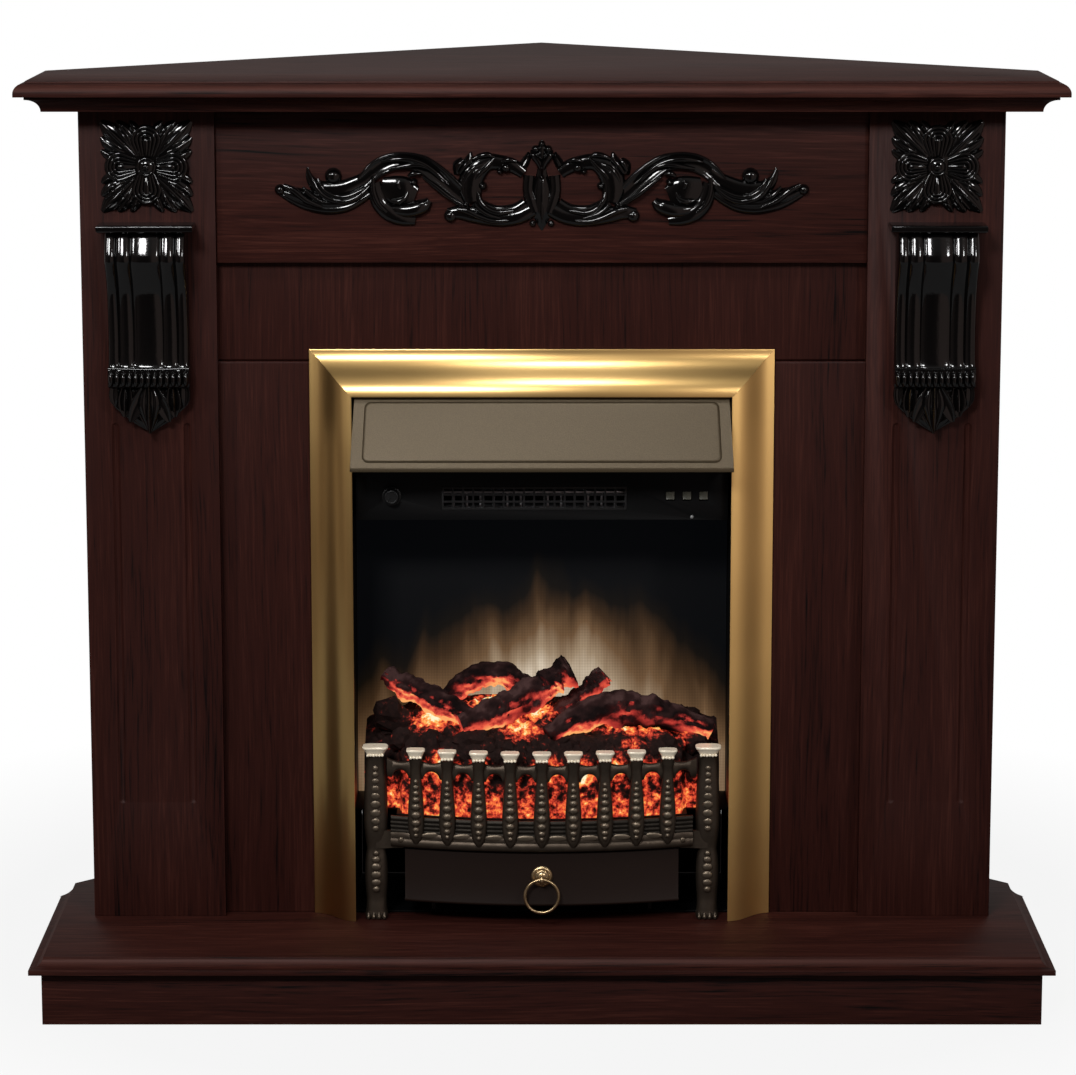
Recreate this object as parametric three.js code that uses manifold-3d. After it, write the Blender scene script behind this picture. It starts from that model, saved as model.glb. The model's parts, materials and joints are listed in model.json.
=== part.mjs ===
// A corner fireplace: a veneered surround that stands in the corner of a room, with carved ornaments,
// and an inset electric fire with a brass trim, a canopy, a blower, a log bed and a cast fret.
// Millimetres. X runs to the right, Y back into the corner and Z up. Inside the file Y is counted from
// the pilasters' front face and Z from the floor; the last lines move the whole onto its own centre.
import * as THREE from "three";
import { mergeVertices } from "three/addons/utils/BufferGeometryUtils.js";
import Module from "manifold-3d";

const wasm = await Module();
wasm.setup();

// ---------------------------------------------------------------- driving sizes
const seat = 0.3; // gap left between pieces that touch
const past = 5; // how far a cutting tool runs past what it cuts

// The veneered surround.
const board = 16; // thickness of its boards
const bodyWidth = 955; // over the side panels
const bodyHeight = 859; // from the hearth board up to the mantel
const cornerDepth = 645; // from the pilasters' face back to the corner of the room
const plinthHeight = 56;
const plinthInset = 12; // plinth behind the hearth board's edge
const hearthFront = 166; // hearth board in front of the pilasters
const hearthSide = 50.5; // and past the side panels
const corniceReach = 49; // lower mantel layer past the body, in front and at the sides
const mantelReach = 59; // upper mantel layer past the body
const coveReach = 14; // the hearth board's cove edge
const coveDrop = 10.5;
const corniceCoveReach = 15;
const corniceCoveDrop = 13;
const ovoloReach = 11.4; // the mantel's rounded edge
const ovoloDrop = 10.7;
const ovoloFoot = 3.3;
const pilasterWidth = 140;
const fluteOffset = 37.4; // flutes either side of the pilaster's middle
const fluteRadius = 4.9;
const fluteDepth = 2.4;
const fluteBottom = 128; // above the hearth board
const fluteLength = 401;
const friezeHeight = 159;
const friezeThickness = 10;
const jointGroove = 2; // chamfer on the facing's joint

// The carved ornaments.
const friezeOrnamentWidth = 556.4;
const friezeOrnamentLift = 1.5; // above the middle of the frieze board
const carvingRelief = 9;
const rosetteWidth = 96.6;
const rosetteDrop = 58.5; // rosette's middle below the mantel
const rosetteRelief = 8;
const corbelWidth = 99; // over its cap
const corbelHeight = 219;
const corbelReach = 42; // cap in front of the pilaster
const corbelDrop = 116; // corbel's cap below the mantel

// The electric fire.
const fireWidth = 486; // over the brass trim
const fireHeight = 609;
const trimFace = 45.5; // width of the trim's face
const trimRise = 38; // inner edge in front of the facing
const trimLip = 3.5; // outer edge in front of the facing
const trimSheet = 1.8;
const trimOverlap = 21; // trim over the edge of the opening
const trimOverlapTop = 13;
const steel = 2; // the housing's sheet
const housingPlay = 3.5; // housing wall outside the trim's inner edge
const housingDepth = 156;
const housingDrop = 18; // housing top below the opening's top
const flangeWidth = 35;
const hoodTop = 563; // above the hearth board
const hoodBottom = 490;
const hoodLip = 4;
const hoodTopReach = 15; // in front of the pilasters' face
const hoodReach = 55;
const hoodTopPlay = 2.5; // canopy's top inside the trim's inner edges
const hoodOverlap = 0.7; // and its foot past them
const fasciaFront = 8; // in front of the pilasters' face
const fasciaBottom = 431.5; // above the hearth board
const fasciaPlay = 3; // fascia's ends inside the trim's inner edges
const grilleMiddle = -8; // across the fire
const grilleWidth = 194;
const grilleHeight = 25;
const grilleBottom = 442; // above the hearth board
const grilleColumns = 18;
const grilleRows = 3;
const grilleBar = 2.2;
const controlHeight = 457; // middle of knob and switches above the hearth board
const controlInset = 37.5; // knob and lamp in from the fascia's ends
const knobRadius = 10;
const knobProjection = 9.5;
const stemRadius = 3;
const switchInset = 42.9; // the middle one in from the fascia's end
const switchPitch = 17.4;
const rockerWidth = 9;
const rockerHalfHeight = 4.2;
const rockerTilt = 8; // degrees either side of level
const rockerPivotDepth = 2.5; // behind the fascia's face
const lampLensRadius = 2;
const screenDepth = 88; // flame screen behind the pilasters' face
const screenThickness = 3;
const rotorRadius = 28; // the blower's
const rotorLength = 196;
const rotorBlades = 16;
const rotorDepth = 72; // its axis behind the pilasters' face
const rotorLift = 64; // its axis above the fascia's bottom
const shaftRadius = 3;
const motorRadius = 24;
const motorLength = 40;
const spindleDepth = 129; // flame spindle's axis behind the pilasters' face
const spindleHeight = 190; // above the hearth board
const spindleRadius = 25;
const spindleFlags = 12;
const spindlePlay = 27; // its ends to the case's walls
const gearMotorSize = 46;
const gearMotorLength = 22;

// Fuel bed, fret and ash pan.
const shelfHeight = 115; // above the hearth board
const bowReach = 45; // the fret's middle in front of the pilasters' face
const bowDepth = 25; // how much it bows
const bowInset = 37.5; // the rails' ends inside the trim's inner edges
const bedFrontHeight = 50; // above the shelf
const bedBackHeight = 92;
const bedWall = 4;
const bedBumps = 5;
const logRadius = 17; // the thickest log's
const railThickness = 6;
const lowerRailBottom = 82; // above the hearth board
const lowerRailHeight = 18;
const lowerBandHeight = 33;
const upperRailBottom = 168;
const upperRailHeight = 8;
const barCount = 9;
const barMargin = 27.2; // outer bars in from the rails' ends
const postInset = 21.5; // posts' middles inside the trim's inner edges
const panGap = 31; // ash pan's ends to the posts' middles
const panSetback = 5; // behind the fret's front
const panBottom = 22; // above the hearth board
const panHeight = 58;
const panDepth = 100;
const roseRadius = 11.5;
const roseHeight = 55; // rose above the hearth board
const ringRadius = 17.85; // middle of the wire
const wireRadius = 1.65;
const eyeReach = 8; // ring's axis in front of the pan
const eyeRadius = 4.8;
const eyeHalfWidth = 2.6;
const glandInset = 49; // gland in from the case's wall
const glandHeight = 40;
const glandRadius = 9;
const cableRadius = 3.5;

// ---------------------------------------------------------------- derived sizes
const bodyHalf = bodyWidth / 2;
const hearthTop = plinthHeight + board;
const corniceBottom = hearthTop + bodyHeight;
const mantelBottom = corniceBottom + board;
const pilasterMiddle = bodyHalf - pilasterWidth / 2;
const panelHalf = bodyHalf - pilasterWidth; // between the pilasters
const facadeFront = board; // the facing lies behind the pilasters
const openingHalf = fireWidth / 2 - trimOverlap;
const openingTop = hearthTop + fireHeight - trimOverlapTop;
const insideHalf = fireWidth / 2 - trimFace; // between the trim's inner edges
const housingHalf = insideHalf + housingPlay;
const housingTop = openingTop - housingDrop;
const housingFront = facadeFront - seat - steel;
const housingBack = housingFront + housingDepth;
const housingInside = housingHalf - steel;
const hoodTopHalf = insideHalf - hoodTopPlay;
const hoodHalf = insideHalf + hoodOverlap;
const fasciaHalf = insideHalf - fasciaPlay;
const knobAcross = controlInset - fasciaHalf;
const lampAcross = fasciaHalf - controlInset;
const switchAcross = fasciaHalf - switchInset;
const spindleLength = 2 * (housingInside - spindlePlay);
const glandAcross = housingInside - glandInset;
const shelfTop = hearthTop + shelfHeight;
const bowHalf = insideHalf - bowInset;
const barPitch = (2 * (bowHalf - barMargin)) / (barCount - 1);
const postAcross = insideHalf - postInset;
const panHalf = postAcross - panGap;
const bowRadius = (bowHalf ** 2 + bowDepth ** 2) / (2 * bowDepth);
const bowCentre = bowRadius - bowReach;

// ---------------------------------------------------------------- materials
const finish = (color, roughness, metalness, emissive = "#000000") =>
  new THREE.MeshStandardMaterial({ color, roughness, metalness, emissive });
const veneer = () => finish("#33120f", 0.5, 0);
const glossBlack = () => finish("#0b0809", 0.12, 0);
const brass = () => finish("#c9a35a", 0.22, 1);
const blackSteel = () => finish("#141312", 0.6, 0.6);
const bronzePaint = () => finish("#5b4d38", 0.45, 0.5);
const fretBrass = () => finish("#5a4a34", 0.4, 0.9);
const blackPlastic = () => finish("#111111", 0.5, 0);
const zinc = () => finish("#8d9093", 0.4, 0.9);
const charredLog = () => finish("#2a1410", 0.9, 0, "#401005");

// ---------------------------------------------------------------- solids
function toSolid(geometry) {
  const bare = geometry.clone();
  bare.deleteAttribute("normal");
  bare.deleteAttribute("uv");
  const merged = mergeVertices(bare, 1e-4);
  return new wasm.Manifold(
    new wasm.Mesh({
      numProp: 3,
      vertProperties: new Float32Array(merged.attributes.position.array),
      triVerts: new Uint32Array(merged.index.array),
    }),
  );
}

function toGeometry(solid) {
  const mesh = solid.getMesh();
  return new THREE.BufferGeometry()
    .setAttribute("position", new THREE.BufferAttribute(new Float32Array(mesh.vertProperties), 3))
    .setIndex(new THREE.BufferAttribute(new Uint32Array(mesh.triVerts), 1));
}

const join = (first, ...others) =>
  toGeometry(others.reduce((sum, g) => sum.add(toSolid(g)), toSolid(first)));
const cut = (first, ...tools) =>
  toGeometry(tools.reduce((left, g) => left.subtract(toSolid(g)), toSolid(first)));
const common = (first, ...others) =>
  toGeometry(others.reduce((both, g) => both.intersect(toSolid(g)), toSolid(first)));

// The largest body of a geometry, when a cut has left crumbs.
function largestBody(geometry) {
  const bodies = toSolid(geometry).decompose();
  return toGeometry(bodies.reduce((best, b) => (b.volume() > best.volume() ? b : best)));
}

// The same shape on the other side of X = 0.
function mirror(geometry) {
  const other = geometry.index ? geometry.toNonIndexed() : geometry.clone();
  other.scale(-1, 1, 1);
  const p = other.attributes.position;
  for (let i = 0; i < p.count; i += 3) {
    const [x, y, z] = [p.getX(i + 1), p.getY(i + 1), p.getZ(i + 1)];
    p.setXYZ(i + 1, p.getX(i + 2), p.getY(i + 2), p.getZ(i + 2));
    p.setXYZ(i + 2, x, y, z);
  }
  return other;
}

const box = (x0, x1, y0, y1, z0, z1) =>
  new THREE.BoxGeometry(x1 - x0, y1 - y0, z1 - z0).translate((x0 + x1) / 2, (y0 + y1) / 2, (z0 + z1) / 2);

const outlineOf = (points) => new THREE.Shape(points.map(([a, b]) => new THREE.Vector2(a, b)));

// An outline drawn in plan (x, y), extruded up from z0 to z1.
const extruded = (shape, depth, curveSegments) =>
  new THREE.ExtrudeGeometry(shape, { depth, bevelEnabled: false, curveSegments });
const upright = (shape, z0, z1, curveSegments = 12) =>
  extruded(shape, z1 - z0, curveSegments).translate(0, 0, z0);

// An outline drawn from the side (y, z), extruded across from x0 to x1.
const across = (shape, x0, x1, curveSegments = 12) =>
  extruded(shape, x1 - x0, curveSegments).applyMatrix4(
    new THREE.Matrix4().set(0, 0, 1, x0, 1, 0, 0, 0, 0, 1, 0, 0, 0, 0, 0, 1),
  );

// An outline drawn from the front (x, z), extruded back from y0 to y1.
const backward = (shape, y0, y1, curveSegments = 12) =>
  extruded(shape, y1 - y0, curveSegments).rotateX(Math.PI / 2).translate(0, y1, 0);

// A round rod along X or along Y.
const rodX = (radius, x0, x1, y, z, sides = 16) =>
  new THREE.CylinderGeometry(radius, radius, x1 - x0, sides)
    .rotateZ(Math.PI / 2)
    .translate((x0 + x1) / 2, y, z);
const rodY = (radius, y0, y1, x, z, sides = 16) =>
  new THREE.CylinderGeometry(radius, radius, y1 - y0, sides).translate(x, (y0 + y1) / 2, z);

// A turned piece on an axis along Y: its profile is a list of [radius, y], from axis to axis.
const turnedY = (profile, sides = 20) =>
  new THREE.LatheGeometry(profile.map(([r, y]) => new THREE.Vector2(r, y)), sides);

// A skin over a row of rings with equal numbers of points, closed at both ends.
function loft(rings) {
  const sides = rings[0].length;
  const points = rings.flat();
  const faces = [];
  for (let r = 0; r + 1 < rings.length; r++)
    for (let s = 0; s < sides; s++) {
      const a = r * sides + s;
      const b = r * sides + ((s + 1) % sides);
      faces.push(a, b, a + sides, b, b + sides, a + sides);
    }
  for (const [start, turn] of [[0, 1], [(rings.length - 1) * sides, 0]]) {
    const ring = points.slice(start, start + sides);
    const middle = points.length;
    points.push(ring.reduce((sum, p) => sum.add(p), new THREE.Vector3()).divideScalar(sides));
    for (let s = 0; s < sides; s++) {
      const next = (s + 1) % sides;
      faces.push(middle, start + (turn ? next : s), start + (turn ? s : next));
    }
  }
  let volume = 0;
  for (let i = 0; i < faces.length; i += 3) {
    const [a, b, c] = [0, 1, 2].map((k) => points[faces[i + k]]);
    volume += a.dot(b.clone().cross(c));
  }
  if (volume < 0) faces.reverse();
  return new THREE.BufferGeometry()
    .setAttribute("position", new THREE.Float32BufferAttribute(points.flatMap((p) => p.toArray()), 3))
    .setIndex(faces);
}

const valueAt = (list, t) => {
  const place = t * (list.length - 1);
  const i = Math.min(Math.floor(place), list.length - 2);
  return list[i] + (list[i + 1] - list[i]) * (place - i);
};

// A tapering branch through points, with its radius at each point. Its section is an ellipse whose
// height along up is the radius times flatness.
function branch(points, radii, up, { flatness = 1, sides = 8, steps = 10, grow = 0 } = {}) {
  const curve = new THREE.CatmullRomCurve3(points.map((p) => new THREE.Vector3(...p)), false, "centripetal");
  const rings = [];
  for (let i = 0; i <= steps; i++) {
    const t = i / steps;
    const along = curve.getTangent(t);
    const side = along.clone().cross(up).normalize();
    const rise = side.clone().cross(along).normalize();
    const radius = valueAt(radii, t) + grow;
    const middle = curve.getPoint(t);
    if (i === 0) middle.addScaledVector(along, -grow);
    if (i === steps) middle.addScaledVector(along, grow);
    const ring = [];
    for (let s = 0; s < sides; s++) {
      const angle = (2 * Math.PI * s) / sides;
      ring.push(
        middle
          .clone()
          .addScaledVector(side, radius * Math.cos(angle))
          .addScaledVector(rise, radius * flatness * Math.sin(angle)),
      );
    }
    rings.push(ring);
  }
  return loft(rings);
}

// A post or bar built of level sections: each station is [z, half width, half depth, y of its middle].
const stack = (stations, x, sides = 6) =>
  loft(
    stations.map(([z, halfWidth, halfDepth, y]) =>
      Array.from({ length: sides }, (_, s) => {
        const angle = (2 * Math.PI * (s + 0.5)) / sides;
        const round = (v) => Math.sign(v) * Math.abs(v) ** 0.7;
        const [c, d] = [round(Math.cos(angle)), round(Math.sin(angle))];
        return new THREE.Vector3(x + halfWidth * c, y + halfDepth * d, z);
      }),
    ),
  );

// ---------------------------------------------------------------- the object
const fireplace = new THREE.Group();
const standing = new THREE.Group(); // holds every piece, with Y counted from the pilasters' face
fireplace.add(standing);

function add(group, name, geometry, material, position = [0, 0, 0]) {
  const mesh = new THREE.Mesh(geometry, material);
  mesh.name = name;
  mesh.position.set(...position);
  group.add(mesh);
  return mesh;
}

// ---------------------------------------------------------------- surround
const surround = new THREE.Group();
standing.add(surround);

// Plan of everything in front of the two walls, which meet in the corner behind at a right angle.
const cornerPlan = (halfWidth, front, setback = 0) =>
  outlineOf([
    [-halfWidth, front],
    [halfWidth, front],
    [halfWidth, cornerDepth - setback - halfWidth],
    [0, cornerDepth - setback],
    [-halfWidth, cornerDepth - setback - halfWidth],
  ]);

// Edge profiles: [inset, height] from the board's lower edge up to its top face.
const arcSteps = 6;
const arcPoints = (point) =>
  Array.from({ length: arcSteps + 1 }, (_, i) => point((i / arcSteps) * (Math.PI / 2)));
const hearthEdge = [
  [0, 0],
  ...arcPoints((a) => [coveReach * Math.sin(a), board - coveDrop * Math.cos(a)]),
];
const corniceEdge = [
  ...arcPoints((a) => [corniceCoveReach * Math.cos(a), corniceCoveDrop * Math.sin(a)]),
  [0, board],
];
const mantelEdge = [
  [0, 0],
  ...arcPoints((a) => [ovoloReach * (1 - Math.cos(a)), ovoloFoot + ovoloDrop * Math.sin(a)]),
  [ovoloReach, board],
];

// A board moulded along its front and both sides, and cut to the walls behind.
function mouldedBoard(bottom, halfWidth, front, edge) {
  const side = outlineOf([
    ...edge.map(([inset, height]) => [front + inset, bottom + height]),
    [cornerDepth + past, bottom + board],
    [cornerDepth + past, bottom],
  ]);
  const face = outlineOf([
    ...edge.map(([inset, height]) => [halfWidth - inset, bottom + height]),
    ...edge.map(([inset, height]) => [inset - halfWidth, bottom + height]).reverse(),
  ]);
  return common(
    across(side, -halfWidth - past, halfWidth + past),
    backward(face, front - past, cornerDepth + past),
    upright(cornerPlan(halfWidth + past, front - past), bottom - past, bottom + board + past),
  );
}

const hearthHalf = bodyHalf + hearthSide;
add(surround, "base_top_board", mouldedBoard(plinthHeight, hearthHalf, -hearthFront, hearthEdge), veneer());
add(
  surround,
  "cornice_board",
  mouldedBoard(corniceBottom, bodyHalf + corniceReach, -corniceReach, corniceEdge),
  veneer(),
);
add(
  surround,
  "mantel_top",
  mouldedBoard(mantelBottom + seat, bodyHalf + mantelReach, -mantelReach, mantelEdge),
  veneer(),
);

// Plinth: a front board, two sides and two boards along the walls.
const plinthHalf = hearthHalf - plinthInset;
const plinthFront = -hearthFront + plinthInset;
const plinthTop = plinthHeight - seat;
add(
  surround,
  "plinth_front",
  box(-plinthHalf, plinthHalf, plinthFront, plinthFront + board, 0, plinthTop),
  veneer(),
);
const sideWall = cornerDepth - plinthHalf; // where the plinth's side meets the wall
const plinthSide = upright(
  outlineOf([
    [plinthHalf - board, plinthFront + board + seat],
    [plinthHalf, plinthFront + board + seat],
    [plinthHalf, sideWall],
    [plinthHalf - board, sideWall + board],
  ]),
  0,
  plinthTop,
);
add(surround, "plinth_side_right", plinthSide, veneer());
add(surround, "plinth_side_left", mirror(plinthSide), veneer());
const wallBoard = board * Math.SQRT2; // the wall boards' thickness, measured along Y
const plinthWall = upright(
  outlineOf([
    [plinthHalf - board - seat, sideWall + board + seat - wallBoard],
    [plinthHalf - board - seat, sideWall + board + seat],
    [seat, cornerDepth - seat],
    [seat, cornerDepth - seat - wallBoard],
  ]),
  0,
  plinthTop,
);
add(surround, "plinth_wall_right", plinthWall, veneer());
add(surround, "plinth_wall_left", mirror(plinthWall), veneer());

// Pilasters: a board with two stopped flutes, on the ends of the facing.
const pilasterBottom = hearthTop + seat;
const pilasterTop = corniceBottom - seat;
const fluteTool = (x) =>
  new THREE.CapsuleGeometry(fluteRadius, fluteLength, 3, 10)
    .rotateX(Math.PI / 2)
    .translate(x, fluteDepth - fluteRadius, hearthTop + fluteBottom + fluteLength / 2);
const pilaster = cut(
  box(-pilasterWidth / 2, pilasterWidth / 2, 0, board - seat, pilasterBottom, pilasterTop),
  fluteTool(-fluteOffset),
  fluteTool(fluteOffset),
);
add(surround, "pilaster_right", pilaster, veneer(), [pilasterMiddle, 0, 0]);
add(surround, "pilaster_left", pilaster.clone(), veneer(), [-pilasterMiddle, 0, 0]);

// Facing: a board either side of the fire and a lintel over it, with a V-joint between them.
const facadeBack = facadeFront + board;
const vGroove = (z) =>
  across(
    outlineOf([
      [facadeFront - past, z - jointGroove - past],
      [facadeFront + jointGroove, z],
      [facadeFront - past, z + jointGroove + past],
    ]),
    -bodyHalf - past,
    bodyHalf + past,
  );
const facadeLeft = cut(
  box(-bodyHalf, -openingHalf, facadeFront, facadeBack, pilasterBottom, openingTop - seat),
  vGroove(openingTop),
);
add(surround, "facade_left_board", facadeLeft, veneer());
add(surround, "facade_right_board", mirror(facadeLeft), veneer());
add(
  surround,
  "facade_lintel",
  cut(box(-bodyHalf, bodyHalf, facadeFront, facadeBack, openingTop, pilasterTop), vGroove(openingTop)),
  veneer(),
);
const friezeFront = facadeFront - friezeThickness;
const friezeBottom = corniceBottom - friezeHeight;
add(
  surround,
  "frieze_board",
  box(-panelHalf + seat, panelHalf - seat, friezeFront, facadeFront - seat, friezeBottom, pilasterTop),
  veneer(),
);

// Side panels: short boards behind the facing, cut to the wall.
const sidePanel = upright(
  outlineOf([
    [bodyHalf - board, facadeBack + seat],
    [bodyHalf, facadeBack + seat],
    [bodyHalf, cornerDepth - bodyHalf],
    [bodyHalf - board, cornerDepth - bodyHalf + board],
  ]),
  pilasterBottom,
  pilasterTop,
);
add(surround, "side_panel_right", sidePanel, veneer());
add(surround, "side_panel_left", mirror(sidePanel), veneer());

// ---------------------------------------------------------------- carved ornaments
const ornaments = new THREE.Group();
standing.add(ornaments);
const outOfFace = new THREE.Vector3(0, -1, 0);

// One carved stroke on a face at y = 0: points are [across, up], with a half width at each.
function stroke(points, halfWidths, relief, steps = Math.ceil(1.2 * (points.length - 1))) {
  const flatness = relief / Math.max(...halfWidths);
  const route = points.map(([x, z]) => [x, 0, z]);
  return branch(route, halfWidths, outOfFace, { flatness, sides: 6, steps });
}
const dome = (x, z, radius, relief) =>
  new THREE.SphereGeometry(radius, 8, 5).scale(1, relief / radius, 1).translate(x, 0, z);
// What stands in front of the face.
const onFace = (geometry, reach) => common(geometry, box(-reach, reach, -reach, -seat, -reach, reach));

// Frieze ornament: a symmetric acanthus scroll. These strokes are its right half.
const scrollStrokes = [
  {
    // long outer wave, from the leaf tip to under the middle
    points: [
      [276, -4], [258, -13], [239, -23], [218, -28], [197, -22], [181, -9], [168, 11], [154, 25],
      [138, 28], [119, 20], [98, 4], [79, -15], [57, -31], [32, -39], [6, -38],
    ],
    halfWidths: [5, 7, 8, 9, 9, 9, 9, 8, 8, 8, 8, 7, 7, 7, 6],
  },
  {
    points: [[243, 17], [239, 2], [230, -11], [215, -18], [198, -14], [183, -2]],
    halfWidths: [3, 5, 6, 6, 6, 5],
  },
  {
    // round scroll under the wave's crest
    points: [[163, 16], [172, 0], [168, -20], [152, -32], [136, -29], [131, -16], [141, -7]],
    halfWidths: [6, 8, 9, 9, 8, 6, 5],
  },
  {
    // C-scroll beside the middle
    points: [[74, -24], [88, -9], [90, 11], [82, 26], [64, 33], [45, 31], [34, 21]],
    halfWidths: [7, 9, 10, 10, 9, 7, 5],
  },
  { points: [[80, -8], [73, 11], [57, 27]], halfWidths: [5, 6, 4] },
  { points: [[67, -8], [59, 9], [47, 21]], halfWidths: [5, 5, 4] },
  {
    points: [[66, -4], [62, -21], [49, -31], [32, -34], [17, -26], [10, -9]],
    halfWidths: [5, 6, 6, 6, 6, 5],
  },
  { points: [[94, -41], [83, -34], [66, -39]], halfWidths: [5, 7, 6] },
  { points: [[2, -4], [9, 14], [15, 34]], halfWidths: [5, 6, 3] },
];
const finialPoints = [[0, 47], [0, 32], [0, 12], [0, -20], [0, -48]];
const finialHalfWidths = [2, 9, 11, 9, 3];
const halfScroll = join(
  ...scrollStrokes.map(({ points, halfWidths }) => stroke(points, halfWidths, carvingRelief)),
  dome(218, -9, 6, carvingRelief),
  dome(141, -8, 7, carvingRelief),
  dome(60, -4, 5, carvingRelief),
);
const friezeScroll = join(
  halfScroll,
  mirror(halfScroll),
  stroke(finialPoints, finialHalfWidths, carvingRelief * 1.2),
);
const friezeScale = friezeOrnamentWidth / 556.4; // the strokes are drawn 556.4 wide
add(
  ornaments,
  "frieze_ornament",
  largestBody(onFace(friezeScroll, panelHalf)).scale(friezeScale, 1, friezeScale),
  glossBlack(),
  [0, friezeFront, (friezeBottom + corniceBottom) / 2 + friezeOrnamentLift],
);

// Rosette: a boss, four buds and an acanthus leaf into each corner.
const cornerLeaf = join(
  stroke([[8, 8], [22, 23], [34, 35], [45, 43]], [6, 9, 11, 5], rosetteRelief, 4),
  stroke([[21, 24], [18, 36], [20, 46]], [6, 7, 3], rosetteRelief * 0.8, 3),
  stroke([[24, 20], [37, 18], [47, 13]], [6, 7, 3], rosetteRelief * 0.8, 3),
);
const upperLeaves = join(cornerLeaf, mirror(cornerLeaf));
const rosette = largestBody(
  onFace(
    join(
      upperLeaves,
      upperLeaves.clone().rotateY(Math.PI),
      dome(0, 0, 13, rosetteRelief * 1.4),
      dome(0, 29, 13, rosetteRelief),
      dome(0, -26, 11, rosetteRelief),
      dome(30, 0, 11, rosetteRelief),
      dome(-30, 0, 11, rosetteRelief),
    ),
    pilasterWidth,
  ),
).scale(rosetteWidth / 96.6, 1, rosetteWidth / 96.6); // its strokes are drawn 96.6 wide
for (const [side, sign] of [["left", -1], ["right", 1]])
  add(ornaments, "rosette_" + side, rosette.clone(), glossBlack(), [
    sign * pilasterMiddle,
    0,
    corniceBottom - rosetteDrop,
  ]);

// Corbel: cap, reeded console, beaded roll and a pointed leaf. Each row is
// [drop below the cap's top, half width, depth, height of the reeds].
const drawnRows = [
  [0, 49.5, 42, 0], [7.5, 49.5, 42, 0], [7.5, 41.5, 34, 3], [13, 41.5, 37, 4], [21, 41.5, 38, 4],
  [31, 41.5, 31, 4], [45, 41.5, 20, 4], [66, 41.5, 13, 3.5], [92, 41.5, 11, 3], [118, 41.5, 12, 3],
  [137, 41.5, 15, 3], [149, 41.5, 19, 2], [151, 42.5, 21, 0], [156, 43, 26, 0], [163, 43, 27, 0],
  [169, 42.5, 22, 0], [172, 41, 13, 2], [186, 42, 12, 2], [198, 30, 11, 1.5],
  [208, 18, 9, 1], [219, 1.5, 5, 0],
];
// The rows are drawn for a corbel 219 high and 99 wide that reaches 42.
const corbelRows = drawnRows.map(([drop, halfWidth, depth, reed]) => [
  (drop * corbelHeight) / 219,
  (halfWidth * corbelWidth) / 99,
  (depth * corbelReach) / 42,
  (reed * corbelReach) / 42,
]);
const reeds = [[0, 15], [22.5, 7.3], [36, 5.5]]; // middle and half width of each convex reed
const reedArc = (x, middle, half) => Math.sqrt(Math.max(0, 1 - ((Math.abs(x) - middle) / half) ** 2));
const reedHeight = (x) => Math.max(...reeds.map(([middle, half]) => reedArc(x, middle, half)));
const reedColumns = [0, 8, 13, 15.1, 18, 22.5, 27, 30, 32, 36, 41.5];
const corbelColumns = [...reedColumns.slice(1).map((x) => -x).reverse(), ...reedColumns];
const corbelHalf = reedColumns.at(-1);
const corbel = loft(
  corbelRows.map(([drop, halfWidth, depth, reed]) => [
    ...corbelColumns.map(
      (x) => new THREE.Vector3((x / corbelHalf) * halfWidth, -depth - reed * reedHeight(x), -drop),
    ),
    new THREE.Vector3(halfWidth, -seat, -drop),
    new THREE.Vector3(-halfWidth, -seat, -drop),
  ]),
);
for (const [side, sign] of [["left", -1], ["right", 1]])
  add(ornaments, "corbel_" + side, corbel.clone(), glossBlack(), [
    sign * pilasterMiddle,
    0,
    corniceBottom - corbelDrop,
  ]);

// ---------------------------------------------------------------- electric fire: trim and case
const fire = new THREE.Group();
standing.add(fire);

// Section of the brass trim: [distance in from its outer edge, height off the facing]. An ogee face,
// bent back along the inner edge, in sheet of one thickness.
const ogeeSteps = 10;
const ogee = (t) => trimLip + (trimRise - trimLip) * (t - Math.sin(2 * Math.PI * t) / (2 * Math.PI) / 1.6);
const trimSection = [
  [0, seat],
  ...Array.from({ length: ogeeSteps + 1 }, (_, i) => [(trimFace * i) / ogeeSteps, ogee(i / ogeeSteps)]),
  [trimFace, seat + steel + seat],
  [trimFace - trimSheet, seat + steel + seat],
  ...Array.from({ length: ogeeSteps }, (_, i) => {
    const t = 1 - (i + 1) / ogeeSteps;
    const inward = Math.max(trimSheet, trimFace * t - (t > 0.9 ? trimSheet : 0));
    return [Math.min(inward, trimFace - trimSheet), ogee(t) - trimSheet];
  }),
  [trimSheet, seat],
];
const fireHalf = fireWidth / 2;
const fireTop = hearthTop + fireHeight;
// Everything under the mitre line at the right top corner, and everything above both mitre lines.
const mitreReach = fireWidth;
const underMitre = backward(
  outlineOf([
    [fireHalf + past, fireTop + past - seat],
    [fireHalf - mitreReach, fireTop - mitreReach - seat],
    [fireHalf + past, fireTop - 2 * mitreReach],
  ]),
  -trimRise - past,
  facadeFront + past,
);
const overMitre = backward(
  outlineOf([
    [-fireHalf - past, fireTop + past],
    [-fireHalf + fireHalf, fireTop - fireHalf],
    [fireHalf + past, fireTop + past],
  ]),
  -trimRise - past,
  facadeFront + past,
);
// The side member runs up, so its section is drawn in plan.
const trimPlan = outlineOf(trimSection.map(([inset, height]) => [fireHalf - inset, facadeFront - height]));
const trimSide = common(upright(trimPlan, hearthTop + seat, fireTop), underMitre);
const trimTop = common(
  across(
    outlineOf(trimSection.map(([inset, height]) => [facadeFront - height, fireTop - inset])),
    -fireHalf,
    fireHalf,
  ),
  overMitre,
);
add(fire, "trim_right", trimSide, brass());
add(fire, "trim_left", mirror(trimSide), brass());
add(fire, "trim_top", trimTop, brass());

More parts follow.
